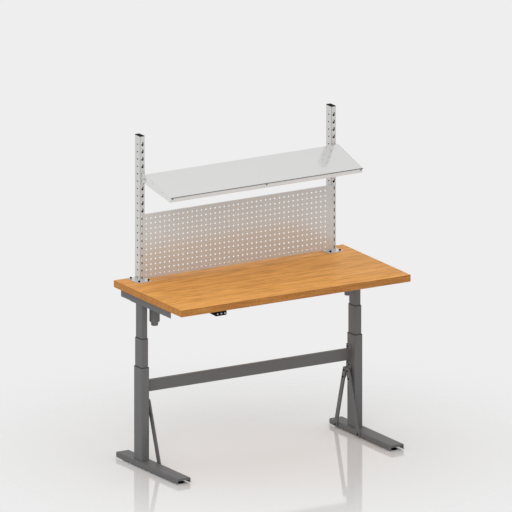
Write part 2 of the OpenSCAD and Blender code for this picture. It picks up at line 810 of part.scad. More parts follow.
module motor_caps() color(frame_grey) both_sides()
    translate([motor_x, motor_y, motor_bottom - motor_taper - motor_cap_h]) {
        translate([0, 0, glide_edge]) cylinder(h = motor_cap_h - glide_edge, r = motor_cap_d / 2);
        cylinder(h = glide_edge, r1 = motor_cap_d / 2 - glide_edge, r2 = motor_cap_d / 2);
    }

function box_screws() = [
    for (x = [-1, 1], y = [-1, 1])
        [box_x + x * (box_w / 2 + ear_len / 2), box_y + y * box_d / 4]
];
function handset_screws() = [
    for (x = [-1, 1]) [handset_x + x * (handset_w / 2 - handset_screw_inset),
                       handset_y + handset_d - handset_screw_inset]
];
function base_bolts() = [
    for (x = [-1, 1], y = [-1, 1])
        [upright_x + x * base_bolt_x / 2, upright_mid_y + y * base_bolt_y / 2]
];

// A section with its corners cut off, in the middle of X and from the worktop's underside up
module chamfered(w) {
    polygon([
        [-w / 2, top_under + top_chamfer], [-w / 2 + top_chamfer, top_under],
        [w / 2 - top_chamfer, top_under], [w / 2, top_under + top_chamfer],
        [w / 2, top_z - top_chamfer], [w / 2 - top_chamfer, top_z],
        [-w / 2 + top_chamfer, top_z], [-w / 2, top_z - top_chamfer]
    ]);
}

module worktop() color(wood) difference() {
    intersection() {
        along_y(-top_d / 2, top_d / 2) chamfered(top_w);
        along_x(-top_w / 2, top_w / 2) chamfered(top_d);
    }
    both_sides() {
        for (y = rail_screw_y()) translate([rail_x, y, top_under - overrun])
            cylinder(h = screw_depth + overrun, r = m6[0] + run_gap);
        for (y = rail_bolt_y) translate([rail_x, col_y + y, top_under - overrun])
            cylinder(h = screw_depth / 2 + 2 * overrun, r = m8[0] + run_gap);
        for (p = base_bolts()) translate([p[0], p[1], top_z - base_bolt_depth])
            cylinder(h = base_bolt_depth + overrun, r = m8[0] + run_gap);
    }
    for (p = concat(box_screws(), handset_screws())) translate([p[0], p[1], top_under - overrun])
        cylinder(h = screw_depth / 2 + overrun, r = m5[0] + run_gap);
}

module worktop_screws() color(zinc) {
    both_sides() for (y = rail_screw_y())
        translate([rail_x, y, top_under - rail_t]) bolt_up(m6, rail_t + screw_depth);
    for (p = box_screws()) translate([p[0], p[1], top_under - ear_t])
        bolt_up(m5, ear_t + screw_depth / 2);
    for (p = handset_screws()) translate([p[0], p[1], top_under - handset_wall])
        bolt_up(m5, handset_wall + screw_depth / 2);
}

// The control box hangs under the worktop by two ears; its sockets open to the back
module control_box() color(black) difference() {
    union() {
        translate([box_x, box_y, top_under - box_h]) linear_extrude(box_h)
            rounded(box_w, box_d, 2 * box_wall);
        translate([box_x, box_y, top_under - ear_t]) linear_extrude(ear_t)
            rounded(box_w + 2 * ear_len, box_d * 3 / 4, 2 * box_wall);
    }
    for (i = [-1.5 : 1 : 1.5])
        translate([box_x + i * socket_step - socket_w / 2, box_y + box_d / 2 - socket_deep,
                   top_under - (box_h + socket_h) / 2])
            cube([socket_w, socket_deep + overrun, socket_h]);
    for (p = box_screws()) translate([p[0], p[1], top_under - ear_t - overrun])
        cylinder(h = ear_t + 2 * overrun, r = m5[0] + bolt_gap);
}

// The handset's side view: a blunt nose in front and a belly that rises a little to the back
module handset_side(inset) {
    front = handset_y + inset;
    back = handset_y + handset_d - inset;
    low = top_under - handset_h + inset;
    polygon([
        [back, top_under - inset], [back, low + handset_rise], [front + handset_nose, low],
        [front, low + handset_nose], [front, top_under - handset_brim],
        [front + handset_brim, top_under - inset]
    ]);
}

// The handset's front view: round below
module handset_front(inset) {
    half = handset_w / 2 - inset;
    low = top_under - handset_h + inset;
    r = handset_r - inset;
    translate([handset_x - half, low + r]) square([2 * half, handset_h - 2 * inset - r]);
    translate([handset_x - half + r, low]) square([2 * (half - r), r]);
    for (x = [-1, 1]) translate([handset_x + x * (half - r), low + r]) circle(r);
}

module handset_form(inset) intersection() {
    translate([handset_x, 0, 0]) along_x(-handset_w / 2, handset_w / 2) handset_side(inset);
    along_y(handset_y, handset_y + handset_d) handset_front(inset);
}

module handset_case() color(black) difference() {
    handset_form(0);
    handset_form(handset_wall);
    for (i = [-1, 0, 1]) translate([handset_x + i * button_step, 0, button_z])
        rod_y(handset_y - overrun, handset_y + handset_wall + overrun, button_d / 2);
    for (p = handset_screws()) translate([p[0], p[1], top_under - handset_wall - overrun])
        cylinder(h = handset_wall + 2 * overrun, r = m5[0] + bolt_gap);
    for (p = handset_screws()) translate([p[0], p[1], top_under - handset_h])
        cylinder(h = handset_h - handset_wall, r = m5[1] + bolt_gap);
}

module handset_board() color("#2f6b45") {
    button_back = handset_y + handset_wall + move_gap + button_flange_h;
    switch_y = button_back + button_travel + move_gap;
    board_y = switch_y + switch_size;
    translate([handset_x - handset_w / 2 + handset_wall, board_y, button_z - handset_h / 4])
        cube([handset_w - 2 * handset_wall, board_t, handset_h / 2]);
    for (i = [-1, 0, 1])
        translate([handset_x + i * button_step - switch_size / 2, switch_y, button_z - switch_size / 2])
            cube([switch_size, switch_size, switch_size]);
}

// A push button: its cap stands out of the case and its flange stops behind the wall
module push_button(place) color(button_grey)
    translate([handset_x + place * button_step, 0, button_z]) {
        back = handset_y + handset_wall + move_gap;
        rod_y(handset_y - button_proud, back, button_d / 2 - move_gap);
        rod_y(back, back + button_flange_h, button_d / 2 + button_flange);
    }

// A slot's outline, upright and with round ends
module slot_outline(w, h) {
    square([w, h - w], center = true);
    for (z = [-1, 1]) translate([0, z * (h - w) / 2]) circle(w / 2);
}

module upright() color(sheet_grey) difference() {
    translate([upright_x, upright_mid_y, upright_bottom]) linear_extrude(upright_top - upright_bottom)
        ring(upright_w, upright_d, upright_r, upright_w - 2 * upright_wall,
             upright_d - 2 * upright_wall, upright_r - upright_wall);
    for (i = [0 : hole_count - 1]) translate([upright_x, upright_mid_y, hole_z0 + i * hole_pitch]) {
        along_x(-upright_w / 2 - overrun, upright_w / 2 + overrun)
            slot_outline(side_slot_w, side_slot_h);
        along_y(-upright_d / 2 - overrun, upright_d / 2 + overrun) slot_outline(slot_w, slot_h);
    }
    for (p = panel_screw_places()) translate([p[0], 0, p[1]])
        rod_y(upright_y - overrun, upright_y + upright_wall + overrun, m5[0] + run_gap);
}

module upright_caps() color(black) both_sides() translate([upright_x, upright_mid_y, upright_top]) {
    linear_extrude(cap_t) rounded(upright_w, upright_d, upright_r);
    translate([0, 0, -cap_plug]) linear_extrude(cap_plug)
        rounded(upright_w - 2 * upright_wall, upright_d - 2 * upright_wall, upright_r - upright_wall);
}

module upright_base_plates() color(sheet_grey) both_sides() difference() {
    translate([upright_x, upright_mid_y, top_z]) linear_extrude(base_t) rounded(base_w, base_d, base_r);
    for (p = base_bolts()) translate([p[0], p[1], top_z - overrun])
        cylinder(h = base_t + 2 * overrun, r = m8[0] + bolt_gap);
}

// Bolts with domed heads
module base_plate_bolts() color(black) both_sides() for (p = base_bolts())
    translate([p[0], p[1], top_z + base_t]) {
        intersection() {
            translate([0, 0, base_head_h - base_head_d / 2 - overrun])
                sphere(base_head_d / 2 + overrun);
            cylinder(h = base_head_h, r = base_head_d / 2);
        }
        translate([0, 0, overrun - base_t - base_bolt_depth])
            cylinder(h = base_t + base_bolt_depth, r = m8[0]);
    }

// Where the panel is screwed to the right upright: X and Z, between two slots
function panel_screw_places() = [
    for (i = [panel_screw_low, panel_screw_high - 1])
        [panel_screw_x, hole_z0 + (i - 0.5) * hole_pitch]
];

module perforated_panel() color(sheet_grey) difference() {
    union() {
        translate([-panel_w / 2, upright_y - panel_t, panel_z]) cube([panel_w, panel_t, panel_h]);
        for (z = [panel_z, panel_z + panel_h - panel_t])
            translate([-upright_x + upright_w / 2 + overrun, upright_y - panel_t, z])
                cube([2 * upright_x - upright_w - 2 * overrun, panel_fold, panel_t]);
    }
    translate([0, upright_y + overrun, 0]) rotate([90, 0, 0])
        linear_extrude(panel_t + 2 * overrun)
            for (i = [0 : panel_cols - 1], j = [0 : panel_rows - 1])
                translate([(i - (panel_cols - 1) / 2) * panel_pitch,
                           panel_z + panel_edge - panel_drop + j * panel_pitch])
                    circle(panel_hole_d / 2, $fn = panel_hole_fn);
    both_sides() for (p = panel_screw_places()) translate([p[0], 0, p[1]])
        rod_y(upright_y - panel_t - overrun, upright_y + overrun, m5[0] + run_gap);
}

module panel_screws() color(sheet_grey) both_sides() for (p = panel_screw_places())
    translate([p[0], 0, p[1]]) {
        rod_y(upright_y - panel_t - m5[2] / 2, upright_y - panel_t, m5[1] - overrun);
        rod_y(upright_y - panel_t, upright_y + 2 * upright_wall, m5[0]);
    }

// Brackets that hook into the slots and carry the shelf's pivots
module shelf_brackets() color(sheet_grey) both_sides() difference() {
    ear_x = shelf_half + move_gap;
    plate_low = slot_z - slot_h / 2 - bracket_gap;
    plate_high = slot_z + hole_pitch + slot_h / 2;
    back = upright_y;
    union() {
        translate([upright_x - upright_w / 2 + overrun, back - bracket_t, plate_low])
            cube([ear_x + bracket_t - upright_x + upright_w / 2 - overrun, bracket_t,
                  plate_high - plate_low]);
        along_x(ear_x, ear_x + bracket_t) polygon([
            [back, plate_low], [back, plate_high],
            [pivot_y - ear_front / 3, pivot_z + ear_front + bracket_r],
            [pivot_y - ear_front, pivot_z + ear_front / 3],
            [pivot_y - ear_front, pivot_z - ear_front / 2], [back - bracket_t, plate_low]
        ]);
        for (i = [0, 1]) translate([upright_x - hook_w / 2, back - overrun,
                                    slot_z + i * hole_pitch - slot_h / 2 + hook_seat]) {
            cube([hook_w, upright_wall + move_gap + overrun, hook_h]);
            translate([0, overrun + upright_wall + move_gap, -hook_seat - bracket_gap])
                cube([hook_w, hook_deep, hook_h + hook_seat + bracket_gap]);
        }
    }
    translate([0, pivot_y, pivot_z]) rod_x(ear_x - overrun, ear_x + bracket_t + overrun, m6[0] + run_gap);
}

// Places the shelf's own frame: its origin is the pivot, and it tips down to the front
module on_shelf() {
    translate([0, pivot_y, pivot_z]) rotate([shelf_slope, 0, 0]) children();
}

tray_half = shelf_half - arm_t;
tray_front = -shelf_gap - shelf_d;
function shelf_screw_y() = [for (share = shelf_screw_shares) -shelf_gap - share * shelf_d];
function shelf_screw_z() = shelf_rise - shelf_screw_drop;

module shelf_tray() color(shelf_grey) on_shelf() difference() {
    union() {
        translate([-tray_half, tray_front, shelf_rise - shelf_t]) cube([2 * tray_half, shelf_d, shelf_t]);
        translate([-shelf_half, tray_front - shelf_t, shelf_rise - shelf_lip])
            cube([2 * shelf_half, shelf_t, shelf_lip]);
        translate([-tray_half, -shelf_gap - shelf_t, shelf_rise - shelf_back_lip])
            cube([2 * tray_half, shelf_t, shelf_back_lip]);
        for (x = [-tray_half, tray_half - shelf_t])
            translate([x, tray_front, shelf_rise - shelf_side_lip])
                cube([shelf_t, shelf_d, shelf_side_lip]);
        translate([-tray_half, tray_front, shelf_rise - shelf_lip])
            cube([2 * tray_half, shelf_back_lip, shelf_t]);
    }
    both_sides() for (y = shelf_screw_y()) translate([0, y, shelf_screw_z()])
        rod_x(tray_half - shelf_t - overrun, tray_half + overrun, m5[0] + bolt_gap);
}

module shelf_arms() color(shelf_grey) both_sides() on_shelf() difference() {
    along_x(tray_half, shelf_half) union() {
        polygon([
            [tray_front, shelf_rise], [-shelf_gap, shelf_rise], [arm_r, 0],
            [0, -arm_r], [-arm_back_in, shelf_rise - arm_back_h],
            [tray_front, shelf_rise - arm_front_h]
        ]);
        circle(arm_r);
    }
    for (y = shelf_screw_y()) translate([0, y, shelf_screw_z()])
        rod_x(tray_half - overrun, shelf_half + overrun, m5[0] + bolt_gap);
    rod_x(tray_half - overrun, shelf_half + overrun, m6[0] + run_gap);
}

// Pivot bolts through arm and bracket, and the bolts that hold the arms to the tray
module shelf_bolts() color(zinc) both_sides() on_shelf() {
    outer_face = shelf_half + move_gap + bracket_t + move_gap;
    rod_x(tray_half, outer_face, m6[0]);
    rod_x(tray_half - m6[2], tray_half, m6[1]);
    rod_x(outer_face, outer_face + m6[2], m6[1]);
    for (y = shelf_screw_y()) translate([0, y, shelf_screw_z()]) {
        rod_x(tray_half - shelf_t - m5[2], shelf_half, m5[0]);
        rod_x(shelf_half, shelf_half + overrun, m5[1] - overrun);
        rod_x(tray_half - shelf_t - m5[2], tray_half - shelf_t, m5[1] - overrun);
    }
}

module shelf_stop_rod() color(frame_grey) on_shelf() {
    rod_y0 = tray_front - shelf_t - rod_d;
    rod_z0 = shelf_rise + rod_d / 2;
    translate([0, rod_y0, rod_z0]) rod_x(-shelf_half, shelf_half, rod_d / 2);
    for (i = [-1, 0, 1]) translate([i * (shelf_half - rod_post), rod_y0, rod_z0]) {
        translate([0, 0, -rod_post]) cylinder(h = rod_post, r = rod_d / 2);
        translate([0, 0, -rod_post]) sphere(rod_d / 2);
        translate([0, 0, -rod_post]) rod_y(0, rod_d, rod_d / 2);
    }
}

on_side(-1) foot();  // left_foot
foot();  // right_foot
foot_glide_nuts();
glide(-1, -1);  // front_left_glide
glide(-1, 1);  // back_left_glide
glide(1, -1);  // front_right_glide
glide(1, 1);  // back_right_glide
column_base_plates();
foot_bolts();
on_side(-1) outer_tube();  // left_outer_tube
outer_tube();  // right_outer_tube
outer_tube_liners();
nut_posts();
on_side(-1) middle_tube();  // left_middle_tube
middle_tube();  // right_middle_tube
on_side(-1) middle_sliders();  // left_middle_sliders
middle_sliders();  // right_middle_sliders
on_side(-1) screw_carrier();  // left_screw_carrier
screw_carrier();  // right_screw_carrier
on_side(-1) hollow_screw();  // left_hollow_screw
hollow_screw();  // right_hollow_screw
on_side(-1) spindle();  // left_spindle
spindle();  // right_spindle
on_side(-1) inner_tube();  // left_inner_tube
inner_tube();  // right_inner_tube
inner_tube_sliders();
crossbar();
crossbar_bolts();
brace_gussets();
front_braces();
back_braces();
brace_bolts();
on_side(-1) top_rail();  // left_top_rail
top_rail();  // right_top_rail
on_side(-1) gearbox();  // left_gearbox
gearbox();  // right_gearbox
gearbox_bolts();
on_side(-1) motor();  // left_motor
motor();  // right_motor
motor_caps();
worktop();
worktop_screws();
control_box();
handset_case();
handset_board();
push_button(-1);  // up_button
push_button(0);  // down_button
push_button(1);  // memory_button
on_side(-1) upright();  // left_upright
upright();  // right_upright
upright_caps();
upright_base_plates();
base_plate_bolts();
perforated_panel();
panel_screws();
shelf_brackets();
shelf_tray();
shelf_arms();
shelf_bolts();
shelf_stop_rod();
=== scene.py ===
"""The looks of a height-adjustable workbench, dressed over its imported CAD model.

The CAD holds the sizes and the places. Here every surface gets its finish, and finer surfaces take
the place of the plain solids of the top, the sheet metal, the fasteners, the motors and the trim.
"""

import json
import math

import bmesh
import bpy
import numpy as np
from bpy.props import FloatProperty, FloatVectorProperty, IntProperty, PointerProperty
from bpy.types import Operator, Panel, PropertyGroup
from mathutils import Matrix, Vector

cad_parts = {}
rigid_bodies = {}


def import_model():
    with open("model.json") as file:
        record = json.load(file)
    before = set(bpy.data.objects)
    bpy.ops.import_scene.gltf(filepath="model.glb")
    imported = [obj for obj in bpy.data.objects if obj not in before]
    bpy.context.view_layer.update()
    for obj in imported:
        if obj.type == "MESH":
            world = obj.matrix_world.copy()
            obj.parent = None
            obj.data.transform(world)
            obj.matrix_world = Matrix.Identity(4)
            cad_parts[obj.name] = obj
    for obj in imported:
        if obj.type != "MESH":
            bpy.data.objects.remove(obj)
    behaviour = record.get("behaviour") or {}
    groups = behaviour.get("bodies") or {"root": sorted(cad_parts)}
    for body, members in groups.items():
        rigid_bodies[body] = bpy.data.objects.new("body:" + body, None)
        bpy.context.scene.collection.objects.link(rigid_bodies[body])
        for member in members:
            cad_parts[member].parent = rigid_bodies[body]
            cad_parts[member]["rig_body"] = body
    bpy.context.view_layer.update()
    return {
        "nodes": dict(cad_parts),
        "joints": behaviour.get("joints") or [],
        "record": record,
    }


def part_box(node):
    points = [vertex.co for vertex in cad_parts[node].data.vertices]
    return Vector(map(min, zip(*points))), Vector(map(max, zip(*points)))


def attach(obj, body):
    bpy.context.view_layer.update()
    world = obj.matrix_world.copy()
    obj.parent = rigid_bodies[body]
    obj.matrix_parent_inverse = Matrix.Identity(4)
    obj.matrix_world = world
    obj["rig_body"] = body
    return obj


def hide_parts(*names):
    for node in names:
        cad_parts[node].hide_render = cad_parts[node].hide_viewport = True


bl_info = {
    "name": "Height-adjustable workbench",
    "version": (1, 0, 0),
    "blender": (4, 5, 0),
    "location": "3D View > Sidebar > Workbench",
    "description": "Dresses the packed workbench: its wood, metalwork, fasteners, drives and stage",
    "category": "Object",
}

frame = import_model()

MM = 0.001
X, Y, Z = np.eye(3)
CREASE = math.radians(32)  # an edge that turns by more is shaded as sharp
BEVELLED = math.radians(40)  # an edge that turns by more is bevelled
FLAT = math.radians(0.5)  # faces that turn by less are one flat face
SAME = 1e-6  # corners that are nearer to each other are one corner


def sample(red, green, blue):
    """The linear colour of a paint or wood sample that is given as 0 to 255 a channel."""
    share = np.array([red, green, blue]) / 255
    linear = np.where(share < 0.04045, share / 12.92, ((share + 0.055) / 1.055) ** 2.4)
    return tuple(float(channel) for channel in linear)


def length_value(name, text, default):
    return FloatProperty(name=name, description=text, default=default, unit="LENGTH")


def angle_value(name, text, default):
    return FloatProperty(name=name, description=text, default=math.radians(default), subtype="ANGLE")


def number_value(name, text, default):
    return FloatProperty(name=name, description=text, default=default)


def colour_value(name, text, *channels):
    return FloatVectorProperty(name=name, description=text, default=sample(*channels), subtype="COLOR")


class TopSettings(PropertyGroup):
    """Sizes and colours of the wooden top."""

    edge: length_value("Edge radius", "Radius of the sanded edges", 2 * MM)
    stave: length_value("Stave width", "Mean width of the glued staves", 38 * MM)
    stave_length: length_value("Stave length", "Mean length of the glued staves", 760 * MM)
    ring: length_value("Ring spacing", "Distance between two growth rings", 2.6 * MM)
    light: colour_value("Early wood", "Colour of the lighter grain", 250, 180, 92)
    dark: colour_value("Late wood", "Colour of the darker grain", 206, 136, 60)
    # the colour of the sides and ends is partly the oiled sawn wood's own colour, partly painted shade
    sawn_and_shaded: colour_value("Sawn wood", "Colour that the sawn edges tend to", 178, 104, 50)


class MetalSettings(PropertyGroup):
    """Paints of the metalwork, and the roundness of its edges."""

    edge: length_value("Edge radius", "Radius of the deburred sheet edges", 0.5 * MM)
    frame: colour_value("Frame paint", "Dark grey powder coat", 108, 108, 109)
    upright: colour_value("Upright paint", "Light grey powder coat", 198, 198, 196)
    shelf: colour_value("Shelf paint", "Pale glossy powder coat", 216, 216, 215)
    bead: length_value("Weld bead", "Radius of a weld bead", 1.8 * MM)
    ripple: length_value("Weld ripple", "Distance between two ripples of a bead", 2.2 * MM)


class ShelfSettings(PropertyGroup):
    """Sizes of the folded shelf and its stop rod."""

    bend: length_value("Bend radius", "Outer radius of the folded edges", 2.5 * MM)
    sheet: length_value("Sheet", "Thickness of the sheet", 1.5 * MM)
    hem: length_value("Hem", "Width of the front lip's return and of the back lip", 14 * MM)
    side: length_value("Side lip", "Height of the side lips", 24 * MM)
    rod_bend: length_value("Rod bend", "Radius of the rod's bends", 6 * MM)
    post_bend: length_value("Post bend", "How far a post's top bends to the left", 9 * MM)
    post_inset: length_value("Post inset", "From the rod's end to the outer posts", 12 * MM)


class DriveSettings(PropertyGroup):
    """Sizes of the motors and the handset."""

    rib_count: IntProperty(name="Ribs", description="Number of ribs round a motor's cap", default=36)
    rib: length_value("Rib depth", "Depth of those ribs", 0.5 * MM)
    nose: length_value("Nose", "Height of the handset's slanted nose", 5 * MM)
    brim: length_value("Brim", "Height of the handset's slanted brim", 6 * MM)
    shell: length_value("Shell", "Wall of the handset's case", 2 * MM)
    soft: length_value("Case radius", "Radius of the handset's long edges", 3.5 * MM)
    end: length_value("End radius", "Radius of the handset's lower ends", 7.2 * MM)
    button: length_value("Button radius", "Radius of a button's cap", 4.7 * MM)
    button_gap: length_value("Button gap", "Gap round a button", 0.3 * MM)


class StageSettings(PropertyGroup):
    """The camera, the lamps, the floor and the background."""

    azimuth: angle_value("Azimuth", "Turn of the view from the bench's front", -30.55)
    elevation: angle_value("Elevation", "Height of the view above the level", 15.42)
    width: length_value("Width of view", "What the parallel view takes in", 2.8826)
    away: length_value("Away", "Distance of the camera", 8.0)
    aim_right: length_value("Aim right", "Middle of the view from the origin", -0.0349)
    aim_up: length_value("Aim up", "Middle of the view above the origin", 1.1187)
    floor_radius: length_value("Floor radius", "Reach of the floor", 9.0)
    fade_from: length_value("Fade from", "Distance at which the floor starts to fade", 0.5)
    fade_to: length_value("Fade to", "Distance at which the floor is gone", 2.3)
    floor: colour_value("Floor", "Colour of the floor", 240, 240, 240)
    background: colour_value("Background", "Colour behind the bench", 238, 238, 238)
    sky: number_value("Sky", "Strength of the even light", 0.8)
    key: number_value("Key", "Power of the large lamp over the left front", 60.0)
    key_size: length_value("Key size", "Width of that lamp", 3.2)


class WorkbenchSettings(PropertyGroup):
    """All settings of the workbench."""

    top: PointerProperty(type=TopSettings)
    metal: PointerProperty(type=MetalSettings)
    shelf: PointerProperty(type=ShelfSettings)
    drive: PointerProperty(type=DriveSettings)
    stage: PointerProperty(type=StageSettings)


class Field:
    """A number over a surface. Arithmetic on it adds Math nodes to its paint."""

    def __init__(self, paint, socket):
        self.paint = paint
        self.socket = socket

    def math(self, operation, *others):
        """A Math node of this number and others, in that order."""
        numbers = dict(enumerate((self, *others)))
        return self.paint.node("ShaderNodeMath", numbers, {"operation": operation})

    def __add__(self, other):
        return self.math("ADD", other)

    def __sub__(self, other):
        return self.math("SUBTRACT", other)

    def __mul__(self, other):
        return self.math("MULTIPLY", other)

    def __truediv__(self, other):
        return self.math("DIVIDE", other)

    def __pow__(self, other):
        return self.math("POWER", other)

    def __lt__(self, other):
        return self.math("LESS_THAN", other)

    def __rsub__(self, other):
        return self.paint.node("ShaderNodeMath", {0: other, 1: self}, {"operation": "SUBTRACT"})

    def __abs__(self):
        return self.math("ABSOLUTE")

    __radd__ = __add__
    __rmul__ = __mul__

    def floor(self):
        return self.math("FLOOR")

    def sine(self):
        return self.math("SINE")

    def between(self, low, high):
        """0 below the low value, 1 above the high one, and a smooth rise from one to the other."""
        limits = {"Value": self, "From Min": low, "From Max": high}
        return self.paint.node("ShaderNodeMapRange", limits, {"interpolation_type": "SMOOTHSTEP"})


class Paint:
    """A material in the making."""

    def __init__(self, name):
        self.material = bpy.data.materials.new(name)
        self.material.use_nodes = True
        self.tree = self.material.node_tree
        self.tree.nodes.clear()
        self.where = self.node("ShaderNodeTexCoord", out="Object")

    def node(self, kind, sockets=None, settings=None, out=0):
        """Adds a node: first its settings, then the values or links of its sockets."""
        made = self.tree.nodes.new(kind)
        for name, value in (settings or {}).items():
            setattr(made, name, value)
        for name, value in (sockets or {}).items():
            if isinstance(value, Field):
                self.tree.links.new(value.socket, made.inputs[name])
            else:
                made.inputs[name].default_value = value
        return Field(self, made.outputs[out])

    def axes(self):
        """The three coordinates of the place on the piece."""
        split = {"Vector": self.where}
        return [self.node("ShaderNodeSeparateXYZ", split, out=axis) for axis in "XYZ"]

    def stretched(self, x, y, z):
        """The place on the piece, with each axis multiplied by its own number."""
        factors = {0: self.where, 1: (x, y, z)}
        return self.node("ShaderNodeVectorMath", factors, {"operation": "MULTIPLY"})

    def noise(self, scale, detail=2.0, vector=None, rough=0.5):
        """Clouds between 0 and 1, whose size is about one over the scale."""
        sockets = {"Vector": vector or self.where, "Scale": scale, "Detail": detail, "Roughness": rough}
        return self.node("ShaderNodeTexNoise", sockets, {"noise_dimensions": "3D"})

    def random(self, number):
        """A random number between 0 and 1 that belongs to a whole number."""
        return self.node("ShaderNodeTexWhiteNoise", {"W": number}, {"noise_dimensions": "1D"})

    def blend(self, first, second, share):
        """A colour between two others."""
        sockets = {0: share, 6: self.opaque(first), 7: self.opaque(second)}
        return self.node("ShaderNodeMix", sockets, {"data_type": "RGBA"}, out=2)

    def scaled(self, colour, factor):
        """A colour made lighter or darker by a factor."""
        sockets = {0: colour, "Scale": factor}
        return self.node("ShaderNodeVectorMath", sockets, {"operation": "SCALE"})

    @staticmethod
    def opaque(colour):
        return colour if isinstance(colour, Field) else (*colour, 1.0)

    def bump(self, height, depth):
        """The normal of a surface that rises by depth where height is 1."""
        sockets = {"Height": height, "Distance": depth, "Strength": 1.0}
        return self.node("ShaderNodeBump", sockets, out="Normal")

    def surface(self, colour, **others):
        """The shader: keywords name its sockets, with an underscore for each space."""
        sockets = {name.replace("_", " "): value for name, value in others.items()}
        sockets["Base Color"] = self.opaque(colour)
        return self.node("ShaderNodeBsdfPrincipled", sockets)

    def finish(self, shader):
        """Ends the material in a shader, and gives the material back."""
        output = self.tree.nodes.new("ShaderNodeOutputMaterial")
        self.tree.links.new(shader.socket, output.inputs["Surface"])
        return self.material


def powder_coat(name, colour, roughness, gloss, coat, bare_and_shaded=None):
    """Baked powder paint: orange peel a millimetre across, with faint clouds in colour and gloss.
    Where the given mask is 1, a dark grey shows instead: partly bare mill scale, partly painted shade in
    the hollow."""
    paint = Paint(name)
    clouds = paint.noise(5.0, 3.0)
    specks = paint.noise(1400.0, 1.0)
    tone = 0.965 + clouds * 0.04 + specks * 0.03
    peel = paint.noise(650.0, 2.0)
    skin = paint.scaled(colour, tone)
    roughness = roughness + (clouds - 0.5) * 0.06 + (specks - 0.5) * 0.08
    if bare_and_shaded:
        # the dark grey inside the tubes is partly bare mill scale and partly painted shade in the hollow
        scale = bare_and_shaded(paint)
        skin = paint.blend(skin, sample(62, 62, 64), scale)
        roughness = roughness + scale * 0.3
        coat = coat * (1.0 - scale)
    return paint.finish(paint.surface(
        skin,
        Roughness=roughness,
        Specular_IOR_Level=gloss,
        Normal=paint.bump(peel, 0.02 * MM),
        Coat_Weight=coat,
        Coat_IOR=1.8,
        Coat_Roughness=0.16,
    ))


def frame_powder(settings):
    return powder_coat("frame powder coat", settings.metal.frame, 0.46, 0.2, 0.0)


def inside_uprights(paint):
    """1 inside the two upright tubes, which are painted a dark grey: partly bare steel, partly painted
    shade in the hollow tubes.
    """
    lo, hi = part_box("right_upright")
    middle, half = (lo + hi) / 2, (hi - lo) / 2
    wall = 0.4 * MM
    x, y, _ = paint.axes()
    return (abs(abs(x) - middle.x) < half.x - wall) * (abs(y - middle.y) < half.y - wall)


def upright_powder(settings):
    return powder_coat("upright powder coat", settings.metal.upright, 0.3, 1.0, 1.0, inside_uprights)


def shelf_powder(settings):
    """Glossy pale paint over sheet that was drawn between rollers, so faint lines run along it."""
    paint = Paint("shelf powder coat")
    lines = paint.noise(1.0, 2.0, paint.stretched(0.3, 60.0, 60.0))
    specks = paint.noise(1400.0, 1.0)
    tone = 0.985 + lines * 0.02 + specks * 0.01
    return paint.finish(paint.surface(
        paint.scaled(settings.metal.shelf, tone),
        Roughness=0.14 + lines * 0.04 + specks * 0.04,
        Specular_IOR_Level=1.0,
        Normal=paint.bump(paint.noise(500.0, 2.0), 0.008 * MM),
        Coat_Weight=1.0,
        Coat_IOR=1.8,
        Coat_Roughness=0.04,
    ))


def clouded(name, colours, cloud, roughness, grit, **others):
    """A paint with clouds between two colours. The other pairs are the scale and detail of the
    clouds, the roughness and its rise with them, and the scale and depth of a fine bump."""
    paint = Paint(name)
    clouds = paint.noise(*cloud)
    return paint.finish(paint.surface(
        paint.blend(*(sample(*channels) for channels in colours), clouds),
        Roughness=roughness[0] + clouds * roughness[1],
        Normal=paint.bump(paint.noise(grit[0], 1.0), grit[1] * MM),
        **others,
    ))


def zinc_plate(settings):
    """Bright zinc: a metal with a fine grain and a cloudy passivation."""
    colours = (198, 200, 204), (178, 186, 190)
    return clouded("zinc plate", colours, (260.0, 3.0), (0.24, 0.16), (2400.0, 0.01), Metallic=1.0)


def black_steel(settings):
    """Blackened steel: a dark oxide with a little oil in it."""
    colours = (14, 14, 15), (24, 23, 23)
    return clouded("black steel", colours, (420.0, 3.0), (0.4, 0.14), (2600.0, 0.008),
                   Specular_IOR_Level=0.06)


def button_plastic(settings):
    """Smooth light plastic, with faint clouds in its tone."""
    colours = (184, 186, 190), (166, 169, 174)
    return clouded("button plastic", colours, (320.0, 2.0), (0.3, 0.12), (1800.0, 0.012))


def black_plastic(settings):
    """Moulded plastic with the fine grain of a spark-eroded mould."""
    paint = Paint("black plastic")
    grain = paint.noise(1500.0, 2.0)
    return paint.finish(paint.surface(
        paint.scaled(sample(22, 22, 23), 0.8 + grain * 0.4),
        Roughness=0.5 + (grain - 0.5) * 0.16,
        Normal=paint.bump(grain, 0.04 * MM),
        Specular_IOR_Level=0.02,
    ))


def board_lacquer(settings):
    """Green lacquer over copper tracks that run in two directions."""
    paint = Paint("board lacquer")
    x, _, z = paint.axes()
    tracks = ((x * 1800.0).sine() * (z * 2100.0).sine()).between(0.45, 0.55)
    return paint.finish(paint.surface(
        paint.blend(sample(30, 92, 52), sample(74, 140, 84), tracks),
        Roughness=0.25 + tracks * 0.1,
        Normal=paint.bump(tracks, 0.03 * MM),
    ))


